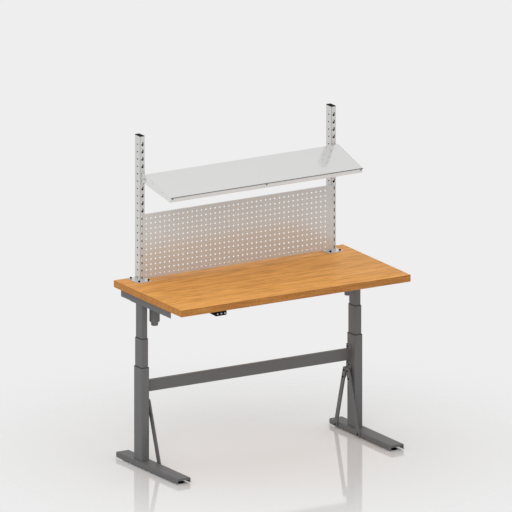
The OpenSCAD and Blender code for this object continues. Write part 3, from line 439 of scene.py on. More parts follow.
def oiled_wood(settings):
    """Edge-glued staves that run along X.

    A stave is one whole number across and one along. It is cut out of its own log, whose axis runs
    along X at a random place under it, and a growth ring is a step in the distance from that axis.
    So the rings show as long lines on the top and as arcs on the end grain.
    """
    top = settings.top
    paint = Paint("oiled wood")
    x, y, z = paint.axes()
    across = y / top.stave
    lane = (across + (across * 2.3 + 0.7).sine() * 0.14).floor()
    along = (x / top.stave_length + paint.random(lane + 3.5) * 9.0).floor()
    stave = lane * 13.0 + along
    tone, low, side = (paint.random(stave + shift) for shift in (0.25, 20.5, 41.75))
    wave = paint.noise(1.0, 3.0, paint.stretched(2.2, 26.0, 26.0))
    from_axis_y = y + (side - 0.5) * 0.12 + (wave - 0.5) * 0.012
    from_axis_z = z - 0.93 + low * 0.05 + x * (tone - 0.5) * 0.02
    distance = (from_axis_y * from_axis_y + from_axis_z * from_axis_z) ** 0.5
    ring = (distance * (2 * math.pi / top.ring) + wave * 7.0).sine() * 0.5 + 0.5
    fibre = paint.noise(1.0, 4.0, paint.stretched(9.0, 420.0, 420.0), 0.65)
    streak = paint.noise(1.0, 3.0, paint.stretched(8.0, 150.0, 150.0), 0.6).between(0.3, 0.7)
    band = paint.noise(1.0, 2.0, paint.stretched(4.0, 72.0, 72.0)).between(0.32, 0.68)
    pores = paint.noise(1.0, 1.0, paint.stretched(26.0, 1100.0, 1100.0)).between(0.66, 0.74)
    late = 0.36 + ring * 0.1 + (streak - 0.5) * 0.9 + (band - 0.5) * 0.6 + (fibre - 0.5)
    wood = paint.blend(top.light, top.dark, late + (tone - 0.5) * 0.3)
    lo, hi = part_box("worktop")
    to_end = 0.5 * (hi.x - lo.x) - abs(x)
    to_side = 0.5 * (hi.y - lo.y) - abs(y)
    on_end = 1.0 - to_end.between(0.3 * MM, 1.2 * MM)
    on_side = 1.0 - to_side.between(0.3 * MM, 1.2 * MM)
    # the sides and ends are made darker and redder: partly the colour of oiled sawn wood, partly painted
    # shade, as they face away from the light on the top; rim adds more painted shade along their upper
    # edge
    cut = on_end * 0.8 + on_side * (1.0 - on_end * 0.8)
    rim = z.between(hi.z - 4.5 * MM, hi.z - 2.5 * MM) * cut
    short = paint.noise(1.0, 3.0, paint.stretched(260.0, 260.0, 60.0), 0.6)
    wood = paint.blend(wood, top.sawn_and_shaded, cut * 0.42)
    shade = (1.0 - pores * 0.22) * (1.0 - cut * 0.33 - rim * 0.16) * (1.0 + (short - 0.5) * cut * 0.9)
    return paint.finish(paint.surface(
        paint.scaled(wood, shade),
        Roughness=0.5 + fibre * 0.14 + cut * 0.12,
        Normal=paint.bump(fibre * 0.6 + ring * 0.3 - pores, 0.05 * MM),
        Specular_IOR_Level=0.25,
    ))


FINISHES = {
    "frame_grey_powder": frame_powder,
    "light_grey_powder": upright_powder,
    "shelf_grey_powder": shelf_powder,
    "zinc_plate": zinc_plate,
    "black_plastic": black_plastic,
    "black_steel": black_steel,
    "oiled_wood": oiled_wood,
    "button_grey": button_plastic,
    "board_green": board_lacquer,
}
SLOT_OF = {part["node"]: part["material_slot"] for part in frame["record"]["subparts"]}
made_finishes = {}


def finish(slot):
    """The material of one of the record's slots, made when it is first asked for."""
    if slot not in made_finishes:
        made_finishes[slot] = FINISHES[slot](bpy.context.scene.workbench)
    return made_finishes[slot]


def unit(vectors):
    """Vectors over their lengths."""
    length = np.linalg.norm(vectors, axis=-1, keepdims=True)
    return vectors / np.maximum(length, 1e-12)


def turn(count):
    """Angles of a whole turn in even steps."""
    return np.arange(count) * (2 * np.pi / count)


def eased(corners, radius, steps=5, closed=False):
    """A line with round bends. At a corner where it turns by t, an arc of the radius r runs from
    r tan(t/2) before the corner to as far after it, about a centre that is r / cos(t/2) from it."""
    corners = np.asarray(corners, float)
    before, at, after = corners[:-2], corners[1:-1], corners[2:]
    if closed:
        before, at, after = np.roll(corners, 1, 0), corners, np.roll(corners, -1, 0)
    come, go = unit(at - before), unit(after - at)
    half = np.arccos(np.clip((come * go).sum(1), -1, 1)) / 2
    legs = np.linalg.norm([at - before, after - at], axis=2).min(0)
    radius = np.minimum(radius, 0.49 * legs / np.maximum(np.tan(half), 1e-9))[:, None, None]
    swing = np.linspace(-1, 1, steps + 1)[None, :, None] * half[:, None, None]
    inward, onward = unit(go - come)[:, None], unit(come + go)[:, None]
    centre = at[:, None] + inward * radius / np.cos(half)[:, None, None]
    arcs = centre - inward * radius * np.cos(swing) + onward * radius * np.sin(swing)
    arcs = arcs.reshape(-1, corners.shape[1])
    return arcs if closed else np.vstack([corners[:1], arcs, corners[-1:]])


def inset(outline, amounts):
    """Closed outlines, each with every side moved inwards by one of the amounts: a point goes along
    the mean normal of its two sides, by the amount over the cosine of half its turn."""
    onward = unit(np.roll(outline, -1, 0) - outline)
    normal = np.stack([-onward[:, 1], onward[:, 0]], 1)
    mean = unit(normal + np.roll(normal, 1, 0))
    reach = mean / np.maximum((mean * normal).sum(1, keepdims=True), 0.1)
    return outline + reach * np.reshape(amounts, (-1, 1, 1))


def slab(outline, profile):
    """A solid whose row k is the outline moved inwards by profile[k][0], at the height profile[k][1]."""
    profile = np.asarray(profile, float)
    rows = inset(outline, profile[:, 0])
    heights = np.broadcast_to(profile[:, 1, None, None], rows.shape[:2] + (1,))
    return capped(np.concatenate([rows, heights], 2))


def rectangle(width, depth, radius, steps=6, centre=(0, 0)):
    """The outline of a rectangle with round corners, counterclockwise."""
    corners = np.array([[-1, -1], [1, -1], [1, 1], [-1, 1]]) * (width / 2, depth / 2)
    return eased(corners, radius, steps, closed=True) + centre


def soft_edges(low, high, radius, steps=4):
    """A slab's profile from one height to another with quarter-round edges."""
    swing = np.linspace(0, np.pi / 2, steps + 1)
    foot = np.stack([radius * (1 - np.sin(swing)), low + radius * (1 - np.cos(swing))], 1)
    head = np.stack([foot[::-1, 0], low + high - foot[::-1, 1]], 1)
    return np.vstack([foot, head])


def turned(profile, sides=32, shape=None):
    """A body of revolution about local Z. Its row k has the radius profile[k][0] and the height
    profile[k][1], and where there is a third number, that share of the shape's own outline."""
    profile = np.asarray(profile, float)
    angle = turn(sides)
    share = profile[:, 2:3] if profile.shape[1] > 2 else 0 * profile[:, :1]
    outline = shape(angle) if shape else np.ones(sides)
    radius = profile[:, :1] * (1 + share * (outline - 1))
    return rounded(radius, profile[:, 1:2], angle)


def rounded(reach, height, angle):
    """Closed rows of points round local Z at their reach, height and angle."""
    height = np.broadcast_to(height, reach.shape)
    return capped(np.stack([reach * np.cos(angle), reach * np.sin(angle), height], -1))


def hexagon(angle):
    """The reach of a hexagon, as a share of its corners': the cosine of 30 degrees over the cosine
    of the angle to the middle of the nearest side."""
    return math.cos(math.pi / 6) / np.cos((angle + math.pi / 6) % (math.pi / 3) - math.pi / 6)


def capped(grid):
    """A grid whose first and last rows are drawn in to their middles, which closes its ends."""
    first, last = grid[..., :1, :, :], grid[..., -1:, :, :]
    ends = [np.broadcast_to(row.mean(-2, keepdims=True), row.shape) for row in (first, last)]
    return np.concatenate([ends[0], grid, ends[1]], -3)


def placed(grid, at, axis=Z, across=X):
    """Copies of a grid at one or more places, with local Z along the axis and local X across."""
    basis = np.array([across, np.cross(axis, across), axis])
    return grid @ basis + np.reshape(at, (-1, 1, 1, 3))


def skin(grid):
    """The corners of grids of points, shaped (..., rows, points, 3), and faces between them that
    run round each row."""
    rows, count = grid.shape[-3:-1]
    index = np.arange(grid.size // 3).reshape(-1, rows, count)
    beside = np.roll(index, -1, 2)
    faces = np.stack([index[:, :-1], beside[:, :-1], beside[:, 1:], index[:, 1:]], -1)
    return grid.reshape(-1, 3), faces.reshape(-1, 4)


def mesh_of(name, grids):
    """One mesh of several grids: doubled corners are joined and all faces point outwards."""
    skins = [skin(grid) for grid in grids]
    starts = np.cumsum([0] + [len(corners) for corners, _ in skins])
    corners = np.vstack([corners for corners, _ in skins])
    faces = np.vstack([faces + start for (_, faces), start in zip(skins, starts)])
    mesh = bpy.data.meshes.new(name)
    mesh.from_pydata(corners.tolist(), [], faces.tolist())
    work = bmesh.new()
    work.from_mesh(mesh)
    bmesh.ops.remove_doubles(work, verts=work.verts, dist=SAME)
    bmesh.ops.recalc_face_normals(work, faces=work.faces)
    work.to_mesh(mesh)
    work.free()
    return mesh


def linked(name, data):
    """A new object in the scene."""
    made = bpy.data.objects.new(name, data)
    bpy.context.scene.collection.objects.link(made)
    return made


def add_piece(name, mesh, node, slot, stands_for=()):
    """Puts a mesh into the scene as a piece that rides with a CAD node, with its slot's finish."""
    body = frame["nodes"][node]["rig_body"]
    mesh.shade_smooth()
    mesh.set_sharp_from_angle(angle=CREASE)
    mesh.materials.clear()
    mesh.materials.append(finish(slot))
    piece = linked(name, mesh)
    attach(piece, body)
    if stands_for:
        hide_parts(*stands_for)
    return piece


def stand_in(node, grids):
    """A piece made of grids that takes the place of a CAD node, its body and its slot."""
    name = f"fine_{node}"
    return add_piece(name, mesh_of(name, grids), node, SLOT_OF[node], [node])


def extra(name, grids, beside, slot=None):
    """A piece made of grids that rides with a CAD node and hides nothing."""
    return add_piece(name, mesh_of(name, grids), beside, slot or SLOT_OF[beside])


def corners_of(node):
    """The corners of a CAD node's mesh."""
    vertices = frame["nodes"][node].data.vertices
    corners = np.zeros(len(vertices) * 3)
    vertices.foreach_get("co", corners)
    return corners.reshape(-1, 3)


def solids(node):
    """The lowest and highest corners of the separate solids of a CAD node. Corners at one place are
    joined, and each triangle gives its corners its lowest label until no label changes."""
    mesh = frame["nodes"][node].data
    mesh.calc_loop_triangles()
    corners = corners_of(node)
    triangles = np.zeros(len(mesh.loop_triangles) * 3, int)
    mesh.loop_triangles.foreach_get("vertices", triangles)
    spot = np.unique(np.round(corners, 6), axis=0, return_inverse=True)[1].ravel()
    triangles = spot[triangles].reshape(-1, 3)
    label = np.arange(spot.max() + 1)
    changed = True
    while changed:
        least = label.copy()
        np.minimum.at(least, triangles.ravel(), np.repeat(label[triangles].min(1), 3))
        changed = bool((least != label).any())
        label = least
    owner = label[spot]
    groups = [corners[owner == one] for one in np.unique(owner)]
    return np.array([group.min(0) for group in groups]), np.array([group.max(0) for group in groups])


def seats(low, high):
    """The middles of the undersides of solids."""
    return np.column_stack([((low + high) / 2)[:, :2], low[:, 2]])


def span(node):
    """The lowest and highest corners of a whole CAD node."""
    return tuple(np.array(corner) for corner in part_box(node))


def softened(node, width, segments=2):
    """A copy of a CAD node's mesh with its doubled corners joined, its flat faces made whole, and
    its sharp edges rounded by a narrow bevel."""
    mesh = frame["nodes"][node].data.copy()
    work = bmesh.new()
    work.from_mesh(mesh)
    bmesh.ops.remove_doubles(work, verts=work.verts, dist=SAME)
    bmesh.ops.dissolve_limit(work, angle_limit=FLAT, verts=work.verts, edges=work.edges)
    work.to_mesh(mesh)
    work.free()
    piece = add_piece(f"fine_{node}", mesh, node, SLOT_OF[node], [node])
    bevel = piece.modifiers.new("Edges", "BEVEL")
    bevel.width = width
    bevel.segments = segments
    bevel.limit_method = "ANGLE"
    bevel.angle_limit = BEVELLED


def cut_hexagon(radius, height, cone):
    """A hexagon on local Z whose corners a cone cuts: its reach at each height is at most that
    share of the radius."""
    angle = turn(48)
    return rounded(radius * np.minimum(hexagon(angle), cone[:, None]), height[:, None], angle)


def hex_head(radius, height):
    """A hexagon head on local Z, chamfered at the top."""
    rise = np.linspace(0, 1, 5)
    return cut_hexagon(radius, np.concatenate([[0], 0.78 + 0.22 * rise]) * height,
                       np.concatenate([[1], 1 - 0.13 * rise**2]))


def nut(radius, height):
    """A hexagon nut on local Z, chamfered at both ends."""
    rise = np.linspace(0, 1, 4)
    cone = 0.87 + 0.13 * rise**0.5
    return cut_hexagon(radius, np.concatenate([0.2 * rise, 1 - 0.2 * rise[::-1]]) * height,
                       np.concatenate([cone, cone[::-1]]))


def domed_head(radius, height):
    """A round head on local Z: a quarter of an ellipse from its rim to the mouth of a hexagon
    socket, and the socket."""
    socket = 0.44 * radius
    rim = 0.18 * height
    swing = np.linspace(0, math.acos(1.12 * socket / radius), 7)
    dome = np.stack([radius * np.cos(swing), rim + (height - rim) * np.sin(swing), 0 * swing], 1)
    mouth = dome[-1, 1]
    socket_rows = [[1.04 * socket, mouth, 1], [socket, mouth - 0.06 * height, 1],
                   [socket, mouth - 0.6 * height, 1]]
    return turned(np.vstack([[[radius * 0.97, 0, 0]], dome, socket_rows]), 36, hexagon)


def shank(radius, length):
    """A plain shank that hangs from local Z 0, with its tip chamfered."""
    tip = 0.3 * radius
    return turned([[radius - tip, -length], [radius, tip - length], [radius, 0.1 * MM]], 20)


# the radius of a head, and with it the radius of its shank and the height of the head, in mm
HEADS = {4.0: (2.5, 3.0), 5.0: (2.5, 3.0), 5.5: (3.0, 4.0), 6.5: (4.0, 5.0), 7.5: (4.0, 5.0)}


def bolts(node, towards, head=hex_head, head_height=None, nut_under=None):
    """The heads and shanks of a CAD node's bolts. The head of each points along its own row of
    towards. Its size is told from the head's width, which a bolt's box has across that direction.
    A nut sits at nut_under below the head's seat, where that is given."""
    low, high = solids(node)
    towards = np.broadcast_to(towards, low.shape)
    grids = []
    for at_low, at_high, way in zip(low, high, towards):
        middle, half = (at_low + at_high) / 2, (at_high - at_low) / 2
        reach = abs(half @ way)
        radius = float(np.max(half * (1 - abs(way))))
        known = min(HEADS, key=lambda size: abs(size * MM - radius))
        shank_radius, height = (value * MM for value in HEADS[known])
        height = head_height or height
        seat = middle + way * (reach - height)
        across = np.roll(abs(way), 1)
        grids.append(placed(head(radius, height), seat, way, across))
        grids.append(placed(shank(shank_radius, 2 * reach - height), seat, way, across))
        if nut_under is not None:
            below = min(nut_under, 2 * reach - 2 * height) + 0.9 * height
            grids.append(placed(nut(radius, 0.9 * height), seat - way * below, way, across))
    return grids


def inwards(node):
    """For each solid of a node, the direction along X to the middle of the bench."""
    low, high = solids(node)
    return -np.sign((low + high)[:, :1]) * X


class PieceOperator(Operator):
    """What all the piece operators share."""

    bl_options = {"REGISTER", "UNDO"}

    @classmethod
    def settings(cls):
        return bpy.context.scene.workbench


class WORKBENCH_OT_stage(PieceOperator):
    """Makes the camera, the lamps, the pale floor and the background"""

    bl_idname = "workbench.stage"
    bl_label = "Stage"

    def execute(self, context):
        stage = self.settings().stage
        context.scene.view_settings.view_transform = "Standard"
        self.camera(stage)
        self.world(stage)
        self.lamp(stage)
        self.floor(stage)
        return {"FINISHED"}

    def aim(self, thing, way):
        thing.rotation_mode = "QUATERNION"
        thing.rotation_quaternion = way.to_track_quat("-Z", "Y")

    def camera(self, stage):
        right = Vector((math.cos(stage.azimuth), math.sin(stage.azimuth), 0))
        level = Vector((right.y, -right.x, 0))
        back = level * math.cos(stage.elevation) + Vector((0, 0, math.sin(stage.elevation)))
        target = right * stage.aim_right + back.cross(right) * stage.aim_up
        data = bpy.data.cameras.new("camera")
        data.type = "ORTHO"
        data.ortho_scale = stage.width
        data.clip_end = 60
        camera = linked("camera", data)
        camera.location = target + back * stage.away
        self.aim(camera, -back)
        bpy.context.scene.camera = camera

    def world(self, stage):
        """Even white light, with the background's own colour for what the camera and gloss see."""
        world = bpy.data.worlds.new("studio")
        world.use_nodes = True
        tree = world.node_tree
        tree.nodes.clear()
        path = tree.nodes.new("ShaderNodeLightPath")
        seen = path.outputs["Is Camera Ray"]
        for ray in ("Is Glossy Ray", "Is Transmission Ray"):
            either = tree.nodes.new("ShaderNodeMath")
            either.operation = "MAXIMUM"
            tree.links.new(seen, either.inputs[0])
            tree.links.new(path.outputs[ray], either.inputs[1])
            seen = either.outputs[0]
        mix = tree.nodes.new("ShaderNodeMixShader")
        tree.links.new(seen, mix.inputs[0])
        for place, colour, strength in ((1, (1, 1, 1), stage.sky), (2, stage.background, 1.0)):
            light = tree.nodes.new("ShaderNodeBackground")
            light.inputs["Color"].default_value = (*colour, 1)
            light.inputs["Strength"].default_value = strength
            tree.links.new(light.outputs[0], mix.inputs[place])
        out = tree.nodes.new("ShaderNodeOutputWorld")
        tree.links.new(mix.outputs[0], out.inputs["Surface"])
        bpy.context.scene.world = world

    def lamp(self, stage):
        data = bpy.data.lights.new("key", "AREA")
        data.shape = "DISK"
        data.size = stage.key_size
        data.energy = stage.key
        lamp = linked("key", data)
        lamp.location = (-3.2, -3.6, 4.2)
        self.aim(lamp, Vector((0, 0, 0.9)) - lamp.location)

    def floor(self, stage):
        """A round floor that fades into the background with its distance from the bench."""
        ring = np.linspace(0, stage.floor_radius, 25)
        grid = turned(np.stack([ring, 0 * ring], 1), 96)
        mesh = mesh_of("floor", [grid[1:-1]])
        paint = Paint("floor")
        x, y, _ = paint.axes()
        fade = ((x * x + y * y) ** 0.5).between(stage.fade_from, stage.fade_to)
        shine = paint.surface(stage.floor, Roughness=0.05, Specular_IOR_Level=1.0)
        gone = paint.node("ShaderNodeBsdfTransparent")
        fading = paint.node("ShaderNodeMixShader", {0: fade, 1: shine, 2: gone})
        mesh.materials.append(paint.finish(fading))
        floor = linked("floor", mesh)


class WORKBENCH_OT_finishes(PieceOperator):
    """Gives every CAD node the finish of its material slot"""

    bl_idname = "workbench.finishes"
    bl_label = "Finishes"

    def execute(self, context):
        for node, shape in frame["nodes"].items():
            shape.data.materials.clear()
            shape.data.materials.append(finish(SLOT_OF[node]))
        return {"FINISHED"}


class WORKBENCH_OT_metalwork(PieceOperator):
    """Rounds the edges of the feet, tubes, rails, braces, uprights, plates and brackets"""

    bl_idname = "workbench.metalwork"
    bl_label = "Metalwork"

    def execute(self, context):
        edge = self.settings().metal.edge
        for side in ("left", "right"):
            for part in ("foot", "outer_tube", "middle_tube", "inner_tube", "top_rail", "gearbox"):
                softened(f"{side}_{part}", edge)
            softened(f"{side}_upright", edge)
        for node in ("crossbar", "brace_gussets", "front_braces", "back_braces", "shelf_arms",
                     "upright_base_plates", "shelf_brackets", "control_box"):
            softened(node, edge)
        softened("perforated_panel", edge, segments=1)
        return {"FINISHED"}


class WORKBENCH_OT_welds(PieceOperator):
    """Lays weld beads round the feet of the uprights and the ends of the crossbar"""

    bl_idname = "workbench.welds"
    bl_label = "Weld beads"

    def execute(self, context):
        metal = self.settings().metal
        low, high = solids("upright_base_plates")
        tube_low, tube_high = span("left_upright")
        ring = self.bead(*(tube_high - tube_low)[:2], metal)
        middle = (low + high) / 2
        middle[:, 1] = (tube_low + tube_high)[1] / 2
        middle[:, 2] = high[:, 2]
        extra("upright_welds", [placed(ring, middle)], "upright_base_plates")
        low, high, end = self.bar()
        ring = self.bead(*(high - low), metal)
        ends = [[side * end, *((low + high) / 2)] for side in (-1, 1)]
        extra("crossbar_welds", [placed(ring, ends, X, Y)], "crossbar")
        return {"FINISHED"}

    def bar(self):
        """The lowest and highest Y and Z of the crossbar's tube, where the edges of its long
        triangles cross the middle of the bench, and the X of its ends."""
        corners = corners_of("crossbar")
        edges = np.array([edge.vertices for edge in frame["nodes"]["crossbar"].data.edges])
        first, last = corners[edges[:, 0]], corners[edges[:, 1]]
        crossing = (first[:, 0] < 0) & (last[:, 0] > 0) | (first[:, 0] > 0) & (last[:, 0] < 0)
        first, last = first[crossing], last[crossing]
        share = (first[:, 0] / (first[:, 0] - last[:, 0]))[:, None]
        section = (first + (last - first) * share)[:, 1:]
        return section.min(0), section.max(0), abs(first[:, 0]).min()

    def bead(self, width, depth, metal, radius=3 * MM):
        """A bead along the outline of a tube in local XY. It is a round section whose radius swells
        by an eighth at each ripple, and its middle lies in the corner that the tube makes."""
        outline = rectangle(width, depth, radius, 4)
        step = np.linalg.norm(np.roll(outline, -1, 0) - outline, axis=1)
        length = np.concatenate([[0], np.cumsum(step)])
        place = np.arange(0, length[-1], metal.ripple / 4)
        loop = np.vstack([outline, outline[:1]])
        path = np.stack([np.interp(place, length, loop[:, axis]) for axis in (0, 1)], 1)
        onward = unit(np.roll(path, -1, 0) - np.roll(path, 1, 0))
        outward = np.stack([onward[:, 1], -onward[:, 0]], 1)
        swell = metal.bead * (1 + 0.12 * np.cos(2 * np.pi * place / metal.ripple))[:, None]
        angle = turn(8)
        points = np.zeros((len(place), 8, 3))
        reach = swell * np.cos(angle)
        points[..., :2] = path[:, None] + outward[:, None] * reach[..., None]
        points[..., 2] = swell * np.sin(angle)
        return np.concatenate([points, points[:1]])


class WORKBENCH_OT_worktop(PieceOperator):
    """Makes the wooden top with sanded edges"""

    bl_idname = "workbench.worktop"
    bl_label = "Worktop"

    def execute(self, context):
        edge = self.settings().top.edge
        low, high = span("worktop")
        outline = rectangle(*(high - low)[:2], 1.2 * edge)
        stand_in("worktop", [slab(outline, soft_edges(low[2], high[2], edge))])
        return {"FINISHED"}


class WORKBENCH_OT_fasteners(PieceOperator):
    """Makes the bolts, screws and nuts with hexagon and domed heads"""

    bl_idname = "workbench.fasteners"
    bl_label = "Fasteners"

    def execute(self, context):
        for node in ("foot_bolts", "gearbox_bolts", "worktop_screws"):
            stand_in(node, bolts(node, -Z))
        stand_in("base_plate_bolts", bolts("base_plate_bolts", Z, domed_head))
        stand_in("crossbar_bolts", bolts("crossbar_bolts", inwards("crossbar_bolts")))
        stand_in("brace_bolts", bolts("brace_bolts", inwards("brace_bolts"), nut_under=20 * MM))
        stand_in("shelf_bolts", bolts("shelf_bolts", -inwards("shelf_bolts"), domed_head, 1.2 * MM))
        stand_in("panel_screws", bolts("panel_screws", -Y, domed_head, 1.2 * MM))
        return {"FINISHED"}


class WORKBENCH_OT_glides(PieceOperator):
    """Makes the four levelling glides: a ribbed disc under a threaded stem"""

    bl_idname = "workbench.glides"
    bl_label = "Levelling glides"

    def execute(self, context):
        for name in ("front_left", "back_left", "front_right", "back_right"):
            node = f"{name}_glide"
            low, high = span(node)
            centre, reach = (low + high) / 2, (high[0] - low[0]) / 2
            foot = centre * (1, 1, 0)
            stand_in(node, [placed(self.disc(reach), foot), placed(self.stem(high[2]), foot)])
        return {"FINISHED"}

    def disc(self, reach):
        """A round foot with 24 grip ribs on its rim, and a hub that the stem stands in."""
        rim = eased([[0.5 * reach, 0], [0.95 * reach, 0], [reach, 2 * MM], [reach, 5.5 * MM],
                     [0.8 * reach, 8 * MM], [7 * MM, 8 * MM]], 0.8 * MM, 3)
        ribs = np.where((rim[:, 1] > 1.2 * MM) & (rim[:, 1] < 6.4 * MM), 1.0, 0.0)
        shape = lambda angle: 1 - 0.022 * (1 + np.cos(24 * angle))
        return turned(np.column_stack([rim, ribs]), 144, shape)

    def stem(self, top, radius=4 * MM, pitch=1.25 * MM, depth=0.5 * MM):
        """A threaded stem: the radius falls by the depth between the turns of a helix."""
        angle = turn(24)
        height = np.linspace(4 * MM, top, int(top / pitch * 4))
        phase = (height[:, None] / pitch - angle / (2 * np.pi)) % 1
        return rounded(radius - depth * (1 - abs(2 * phase - 1)), height[:, None], angle)


class WORKBENCH_OT_motors(PieceOperator):
    """Makes the tubular motors under the gearboxes, with their ribbed end caps"""

    bl_idname = "workbench.motors"
    bl_label = "Motors"

    def execute(self, context):
        drive = self.settings().drive
        for node in ("left_motor", "right_motor"):
            low, high = span(node)
            centre, reach = (low + high) / 2, (high[0] - low[0]) / 2
            stand_in(node, [placed(self.can(reach, high[2] - low[2]), [*centre[:2], low[2]])])
        low, high = solids("motor_caps")
        reach, height = (high - low)[0, 0] / 2, (high - low)[0, 2]
        stand_in("motor_caps", [placed(self.cap(reach, height, drive), seats(low, high))])
        return {"FINISHED"}

    def can(self, reach, height):
        """A drawn steel can: a shoulder below, a rolled seam near the top and a mounting flange."""
        seam, flange = height - 22 * MM, height - 5 * MM
        rows = [[0.66 * reach, 0], [0.72 * reach, 0], [0.985 * reach, 9 * MM], [0.985 * reach, seam],
                [reach, seam + 0.6 * MM], [reach, seam + 3 * MM], [0.985 * reach, seam + 3.6 * MM],
                [0.985 * reach, flange], [reach, flange + 0.5 * MM], [reach, height]]
        return turned(eased(rows, 0.5 * MM * np.array([1, 6, 1, 1, 1, 1, 1, 1]), 3), 64)

    def cap(self, reach, height, drive):
        """A moulded cap with upright ribs and a round lower edge."""
        rows = eased([[0.5 * reach, 0], [0.97 * reach, 0], [0.97 * reach, height - 3 * MM],
                      [reach, height - 2.6 * MM], [reach, height]],
                     MM * np.array([4.0, 0.4, 0.4]), 5)
        ribbed = np.where((rows[:, 1] > 3.5 * MM) & (rows[:, 1] < height - 3.2 * MM), 1.0, 0.0)
        count, depth = drive.rib_count, drive.rib / reach
        shape = lambda angle: 1 - depth * (0.5 + 0.5 * np.cos(count * angle)) ** 0.5
        return turned(np.column_stack([rows, ribbed]), 6 * count, shape)


class WORKBENCH_OT_shelf(PieceOperator):
    """Makes the folded shelf tray and the stop rod along its front edge"""

    bl_idname = "workbench.shelf"
    bl_label = "Shelf"

    def execute(self, context):
        joint = next(joint for joint in frame["joints"] if joint["name"] == "shelf_tilt")
        slope = math.radians(-joint["range_deg"][0])
        self.pivot = np.array(joint["pos_m"])
        self.tilt = np.array([X, [0, math.cos(slope), math.sin(slope)],
                              [0, -math.sin(slope), math.cos(slope)]])
        settings = self.settings().shelf
        low, high = self.level("shelf_tray")
        self.tray(settings, low, high)
        self.rod(settings, high[2])
        return {"FINISHED"}

    def level(self, node):
        """The corners of a shelf node in the shelf's own frame, where its sheet lies level."""
        flat = (corners_of(node) - self.pivot) @ self.tilt.T
        return flat.min(0), flat.max(0)

    def sloped(self, points):
        """Points of the level shelf, turned down to the front by its slope about the pivot."""
        return points @ self.tilt + self.pivot

    def tray(self, settings, low, high):
        """A strip with the front lip and its return, the sheet with the back lip, and two side
        strips. They meet at their bends, as the corners of a folded sheet are notched."""
        sheet, bend, hem = settings.sheet, settings.bend, settings.hem
        front, back, top = low[1], high[1] + sheet, high[2]
        half = high[0] - 2 * MM
        inner = half - 1.6 * bend
        fold = front + 1.6 * bend
        strips = [
            self.strip([[fold, top], [front, top], [front, low[2]], [front + hem, low[2]]],
                       settings, [-high[0], high[0]]),
            self.strip([[back, top - hem], [back, top], [fold, top]], settings, [-inner, inner]),
        ]
        side = top - settings.side
        walls = [
            self.strip([[half, side], [half, top], [inner, top]], settings, [-back + bend, -fold]),
            self.strip([[-inner, top], [-half, top], [-half, side]], settings, [-back + bend, -fold]),
        ]
        grids = [placed(strip, (0, 0, 0), X, Y)[0] for strip in strips]
        grids += [placed(wall, (0, 0, 0), -Y, X)[0] for wall in walls]
        stand_in("shelf_tray", [self.sloped(grid) for grid in grids])

    def strip(self, line, settings, ends):
        """A bent strip of sheet. The line, with round bends, is its outer side, the sheet lies to
        the left of it, and the four corners of its section run from one end to the other."""
        outer = eased(line, settings.bend, 5)
        onward = unit(np.gradient(outer, axis=0))
        inner = outer + np.stack([-onward[:, 1], onward[:, 0]], 1) * settings.sheet
        rows = np.zeros((len(outer), 4, 3))
        rows[:, :2, :2] = outer[:, None]
        rows[:, 2:, :2] = inner[:, None]
        rows[:, :, 2] = np.take(ends, [0, 1, 1, 0])
        return capped(rows)

    def rod(self, settings, top):
        """A straight wire over the front edge, on three bent posts that leave the front lip."""
        low, high = self.level("shelf_stop_rod")
        radius = (high[2] - top) / 2
        over, under, front = top + radius, low[2] + radius, low[1] + radius
        ends = np.array([low[0] + radius, high[0] - radius])
        swing = np.linspace(0, np.pi / 2, 5)[1:]
        dome = np.stack([radius * np.sin(swing), radius * (1 - np.cos(swing))], 1)
        far = ends[1] - ends[0] + radius
        profile = np.vstack([dome + [0, -radius], dome[::-1] * [1, -1] + [0, far]])
        grids = [placed(turned(profile, 20), [ends[0], front, over], X, Y)[0]]
        posts = np.array([-1, 0, 1]) * (high[0] - settings.post_inset)
        for post in posts:
            shift = settings.post_bend if post > -0.5 else -settings.post_bend
            path = eased([[post, high[1], under], [post, front, under], [post, front, over],
                          [post - shift, front, over]], [settings.rod_bend * 0.6, settings.rod_bend], 6)
            grids.append(self.wire(path, radius * 0.96))
        stand_in("shelf_stop_rod", [self.sloped(grid) for grid in grids])

    def wire(self, path, radius):
        """A round wire along a path that never runs along the reference direction."""
        onward = unit(np.gradient(path, axis=0))
        side = unit(np.cross(onward, [0.31, 0.47, 0.83]))
        up = np.cross(side, onward)
        angle = turn(16)
        ring = side[:, None] * np.cos(angle)[:, None] + up[:, None] * np.sin(angle)[:, None]
        return capped(path[:, None] + ring * radius)


class WORKBENCH_OT_upright_caps(PieceOperator):
    """Makes the plastic caps in the tops of the uprights"""

    bl_idname = "workbench.upright_caps"
    bl_label = "Upright caps"

    def execute(self, context):
        low, high = solids("upright_caps")
        size = (high - low)[0]
        outline = rectangle(size[0], size[1], 2.4 * MM)
        plug, lip = 2.2 * MM, size[2] - 3 * MM
        dome = soft_edges(lip, size[2], 0.7 * MM)[5:]
        profile = np.vstack([[[plug + 0.6 * MM, 0], [plug, 1.5 * MM], [plug, lip], [0, lip]], dome])
        stand_in("upright_caps", [placed(slab(outline, profile), seats(low, high))])
        return {"FINISHED"}


BUTTONS = ("up", "down", "memory")


